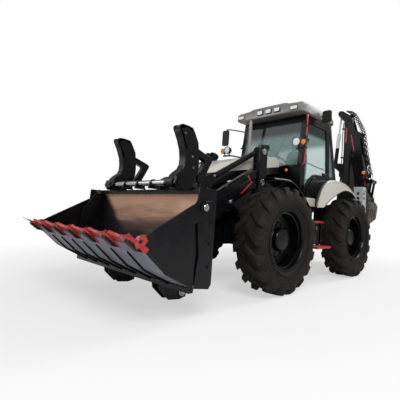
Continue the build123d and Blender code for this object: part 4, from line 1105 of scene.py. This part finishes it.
def arm_boss(reach, z, x0, x1, radius):
    """A round boss across the arm, with bevelled ends."""
    profile = [(x0, CORE), (x0, radius), (x0 + 0.004, radius + 0.003), (x1 - 0.004, radius + 0.003),
               (x1, radius), (x1, CORE)]
    return turned(profile, (ARM_X, reach, z), (1, 0, 0), 36)


def make_boom():
    """Box-section boom with welded cap plates that stand proud of its webs, bosses and red accents."""
    web = ((0.15, 0.87), (0.18, 0.815), (0.24, 0.8), (0.31, 0.83), (0.345, 0.9), (0.425, 1.9), (0.445, 2.7),
           (0.455, 3.4), (0.42, 3.5), (0.33, 3.51), (0.268, 3.44), (0.258, 2.6), (0.225, 1.9))
    foot = ((0.235, 0.86), (0.3, 0.87), (0.338, 1.4), (0.262, 1.42))
    low_lug = ((0.24, 1.97), (0.14, 2.05), (0.135, 2.14), (0.245, 2.25))
    high_lug = ((0.235, 2.08), (0.24, 2.35), (0.06, 2.37), (-0.025, 2.33), (-0.02, 2.26), (0.06, 2.24))
    shapes = [arm_plate(web, -0.078, 0.078), *arm_pair(foot, 0.077, 0.084), *arm_pair(low_lug, 0.03, 0.048),
              *arm_pair(high_lug, 0.062, 0.08), arm_boss(0.36, 3.42, -0.112, 0.112, 0.052),
              arm_boss(0.02, 2.3, -0.086, 0.086, 0.034)]
    piece("boom_shell", shapes, "night", "boom", ["boom"], bevel=0.004)
    panel = ((0.262, 1.05), (0.3, 1.05), (0.385, 1.9), (0.402, 2.7), (0.408, 3.33), (0.312, 3.33),
             (0.3, 2.6), (0.268, 1.9))
    piece("boom_panels", arm_pair(panel, 0.0775, 0.08), "plastic", "boom", smooth=False)
    accent = ((0.3, 2.86), (0.33, 2.86), (0.345, 3.22), (0.315, 3.22))
    piece("boom_accents", arm_pair(accent, 0.0798, 0.0822), "red", "boom", smooth=False)


def make_guard():
    """Guard and stop plates between the boom and the dipper, and the pipes up the boom with their clamps."""
    guard = ((0.33, 0.95), (0.44, 1.02), (0.545, 1.35), (0.545, 1.8), (0.52, 2.05), (0.47, 2.3), (0.4, 2.36))
    piece("boom_guard", arm_pair(guard, 0.06, 0.066), "guard", "boom", smooth=False)
    stop = ((0.5, 1.45), (0.6, 1.5), (0.665, 1.78), (0.59, 2.03), (0.525, 2.3), (0.47, 2.52), (0.43, 2.5))
    piece("boom_stop", arm_pair(stop, 0.048, 0.056), "night", "boom", smooth=False)
    line = ((0.193, 1.2), (0.203, 1.7), (0.193, 1.92), (0.216, 2.6), (0.228, 3.1), (0.25, 3.36))
    lanes = (ARM_X - 0.065, ARM_X + 0.065)
    pipes = [tube([(x, reach, z) for reach, z in line], 0.011, 10) for x in lanes]
    pipes += [brick(x - 0.013, x + 0.013, reach - 0.03, reach + 0.03, z - 0.015, z + 0.015)
              for reach, z in ((0.205, 1.35), (0.215, 2.5), (0.24, 3.2)) for x in lanes]
    piece("boom_pipes", pipes, "plastic", "boom")


DIPPER_TIP = ((0.85, 1.76), (0.85, 1.64), (0.8, 1.6), (0.745, 1.65), (0.6, 2.08))


def make_dipper():
    """Two cheek plates around a box core, with bosses, ribs, red accents and a side lamp."""
    cheek = ((0.11, 3.59), (0.15, 3.65), (0.23, 3.64), (0.44, 3.49), (0.545, 3.1), (0.65, 3.075),
             (0.69, 3.02), (0.675, 2.9), (0.715, 2.5), *DIPPER_TIP, (0.48, 2.6), (0.34, 3.3), (0.28, 3.36),
             (0.12, 3.54))
    core = ((0.485, 2.6), (0.5, 2.72), (0.56, 2.82), (0.61, 2.82), (0.7, 2.5), *DIPPER_TIP)
    rib = ((0.7, 2.44), (0.722, 2.46), (0.838, 1.86), (0.815, 1.85))
    shapes = [*arm_pair(cheek, 0.085, 0.107), arm_plate(core, -0.0855, 0.0855)]
    bosses = ((0.8, 1.66, -0.14, 0.14, 0.04), (0.634, 3.024, -0.112, 0.112, 0.036),
              (0.725, 1.965, -0.138, 0.138, 0.032), (0.36, 3.42, 0.108, 0.118, 0.06),
              (0.36, 3.42, -0.118, -0.108, 0.06))
    shapes += [arm_boss(*boss) for boss in bosses]
    piece("dipper_shell", shapes + arm_pair(rib, 0.106, 0.112), "night", "dipper", ["dipper"], bevel=0.004)
    high = ((0.52, 2.62), (0.545, 2.62), (0.47, 3.02), (0.445, 3.02))
    low = ((0.8, 1.8), (0.822, 1.8), (0.775, 2.05), (0.753, 2.05))
    piece("dipper_accents", arm_pair(high, 0.1068, 0.1092) + arm_pair(low, 0.1068, 0.1092), "red", "dipper",
          smooth=False)
    shell = ((-0.04, CORE), (-0.04, 0.03), (-0.01, 0.044), (0.02, 0.044), (0.02, CORE))
    piece("dipper_lamp", [turned(shell, (ARM_X + 0.13, 0.775, 2.1), (1, 0.3, 0), 28)], "plastic", "dipper")
    glass = disc((ARM_X + 0.149, 0.7805, 2.1), (1, 0.3, 0), 0.04, 0.004, 28, dome=0.012)
    piece("dipper_lens", [glass], "amber", "dipper")


HOSE_PATH = ((0.3, 3.64), (0.47, 3.56), (0.6, 3.32), (0.69, 3.12), (0.735, 2.88), (0.79, 2.5), (0.88, 2.1),
             (0.88, 1.99))


def make_hoses():
    """The spiral-guarded hose bundle along the dipper's outer edge: strands that wind around one path."""
    line = curve_through([(0, reach, z) for reach, z in HOSE_PATH], 14)
    go = np.gradient(line, axis=0)
    go /= np.linalg.norm(go, axis=1)[:, None]
    side = np.cross(go, (1, 0, 0))
    ends = np.sin(np.linspace(0, np.pi, len(line))) ** 0.4
    strands = []
    for x in (-0.045, 0.045):
        for phase in (0.0, 2.1, 4.2):
            turn = np.linspace(0, 15 * np.pi, len(line)) + phase
            wind = line + side * (0.04 * np.cos(turn) * ends)[:, None]
            wind[:, 0] += ARM_X + x + 0.026 * np.sin(turn) * ends
            strands.append(tube(wind, 0.0085, 8, smooth=False))
    for reach, z in ((0.44, 3.52), (0.69, 3.02), (0.8, 2.42), (0.86, 2.06)):
        strands.append(rounded(ARM_X - 0.085, ARM_X + 0.085, reach - 0.035, reach + 0.018, z - 0.02,
                               z + 0.02, 0.008, 2))
    piece("dipper_hoses", strands, "plastic", "dipper")


BUCKET_BACK = ((0.93, 1.44), (0.965, 1.35), (0.93, 1.08), (0.79, 0.96), (0.6, 0.955), (0.505, 1.02))


def make_digger_bucket():
    """The digging bucket's curved wall, cheeks, ears, wear straps and five teeth."""
    wall = (*BUCKET_BACK, (0.48, 1.13), (0.52, 1.09), (0.61, 0.99), (0.78, 0.985), (0.905, 1.095),
            (0.938, 1.345), (0.915, 1.425), (0.78, 1.425), (0.78, 1.44))
    cheek = (*BUCKET_BACK, (0.5, 1.09), (0.68, 1.38), (0.78, 1.44))
    ears = ((0.75, 1.64), (0.765, 1.7), (0.82, 1.72), (0.86, 1.685), (0.925, 1.54), (0.935, 1.48),
            (0.962, 1.38), (0.88, 1.41), (0.8, 1.43), (0.77, 1.56))
    strap = ((0.962, 1.3), (0.972, 1.28), (0.94, 1.075), (0.795, 0.948), (0.61, 0.945), (0.61, 0.957),
             (0.792, 0.962), (0.93, 1.082))
    tooth = ((0.53, 1.03), (0.545, 1.085), (0.475, 1.19), (0.44, 1.225), (0.455, 1.16), (0.49, 1.05))
    low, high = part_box("digger_bucket")
    half = (high[0] - low[0]) / 2
    shapes = [arm_plate(wall, -half, half), *arm_pair(cheek, half - 0.018, half),
              *arm_pair(ears, 0.112, 0.134)]
    shapes += [arm_plate(strap, x - 0.025, x + 0.025) for x in (-half * 0.5, 0.0, half * 0.5)]
    piece("digger_shell", shapes, "steel", "digger_bucket", ["digger_bucket"], bevel=0.003)
    teeth = [arm_plate(tooth, x - 0.026, x + 0.026) for x in np.linspace(-half + 0.035, half - 0.035, 5)]
    piece("digger_teeth", teeth, "steel", "digger_bucket", bevel=0.004)


make_boom()
make_guard()
make_dipper()
make_hoses()
make_digger_bucket()


def make_stage():
    """A pale floor, three soft lamps, and a world that the camera sees as white."""
    mesh = bpy.data.meshes.new("floor")
    reach = 40.0
    corners = [(-reach, -reach, 0), (reach, -reach, 0), (reach, reach, 0), (-reach, reach, 0)]
    mesh.from_pydata(corners, [], [(0, 1, 2, 3)])
    floor = bpy.data.objects.new("floor", mesh)
    bpy.context.scene.collection.objects.link(floor)
    ground = Finish("pale_floor", Roughness=0.9)
    ground.set("Base Color", ground.mix(ground.noise(0.6), (0.8, 0.8, 0.8), (0.84, 0.84, 0.84)))
    lit = ground.node("ShaderNodeEmission", values={"Color": (1, 1, 1, 1), "Strength": 1.0})
    seen = ground.node("ShaderNodeLightPath", output=0)
    length = ground.node("ShaderNodeVectorMath", {"operation": "LENGTH"}, {0: ground.place}, output=1)
    share = seen * (0.55 + length.smooth(3.0, 6.5) * 0.45)
    matt = Wire(ground.tree, ground.shader.outputs[0])
    blend = ground.node("ShaderNodeMixShader", values={"Fac": share, 1: matt, 2: lit})
    ground.tree.links.new(blend.socket, ground.tree.nodes["Material Output"].inputs[0])
    mesh.materials.append(ground.material)

    world = bpy.data.worlds.new("studio")
    bpy.context.scene.world = world
    world.use_nodes = True
    sky = Wire(world.node_tree, None)
    seen, through = [sky.node("ShaderNodeLightPath", output=index) for index in (0, 6)]
    direct = seen.maths("MAXIMUM", seen, through)
    back = world.node_tree.nodes["Background"]
    back.inputs["Color"].default_value = (1, 1, 1, 1)
    strength = 0.36 + direct * 0.64
    world.node_tree.links.new(strength.socket, back.inputs["Strength"])

    for name, place, size, power in (("key", (5.5, 6.5, 7.5), 4.5, 620),
                                     ("fill", (7.5, -6.0, 5.0), 6.0, 150),
                                     ("back", (-6.0, 3.0, 7.5), 5.0, 360)):
        lamp = bpy.data.lights.new(name, "AREA")
        lamp.shape = "DISK"
        lamp.size = size
        lamp.energy = power
        obj = bpy.data.objects.new(name, lamp)
        aim = Vector((0, 0, 1.2)) - Vector(place)
        obj.matrix_world = Matrix.Translation(place) @ aim.to_track_quat("-Z", "Y").to_matrix().to_4x4()
        bpy.context.scene.collection.objects.link(obj)


# The photograph's side in pixels, and the camera's sensor in millimetres
PICTURE = 400
SENSOR = 36
# The solved camera: place from the front axle, angles in degrees, focal length and centre in pixels
EYE = (3.6062, 3.5046, 1.0192)
ANGLES = (220.6006, 6.4917, 3.2371)
FOCAL = 318.9129
PRINCIPAL = (251.9494, 178.4139)


def make_camera():
    """The photograph's camera: eye height about one metre, close to the left front corner."""
    yaw, pitch, roll = np.radians(ANGLES)
    view = np.array([np.cos(yaw) * np.cos(pitch), np.sin(yaw) * np.cos(pitch), np.sin(pitch)])
    level = np.array([np.sin(yaw), -np.cos(yaw), 0.0])
    over = np.cross(level, view)
    right = np.cos(roll) * level + np.sin(roll) * over
    up = np.cos(roll) * over - np.sin(roll) * level
    lens = bpy.data.cameras.new("camera")
    lens.sensor_width = SENSOR
    lens.lens = FOCAL / PICTURE * SENSOR
    lens.shift_x = -(PRINCIPAL[0] / PICTURE - 0.5)
    lens.shift_y = PRINCIPAL[1] / PICTURE - 0.5
    lens.clip_end = 200
    obj = bpy.data.objects.new("camera", lens)
    turn = Matrix((right, up, -view)).transposed().to_4x4()
    obj.matrix_world = Matrix.Translation(spot(*EYE)) @ turn
    bpy.context.scene.collection.objects.link(obj)
    bpy.context.scene.camera = obj


make_stage()
make_camera()
bpy.context.scene.view_settings.view_transform = "Standard"
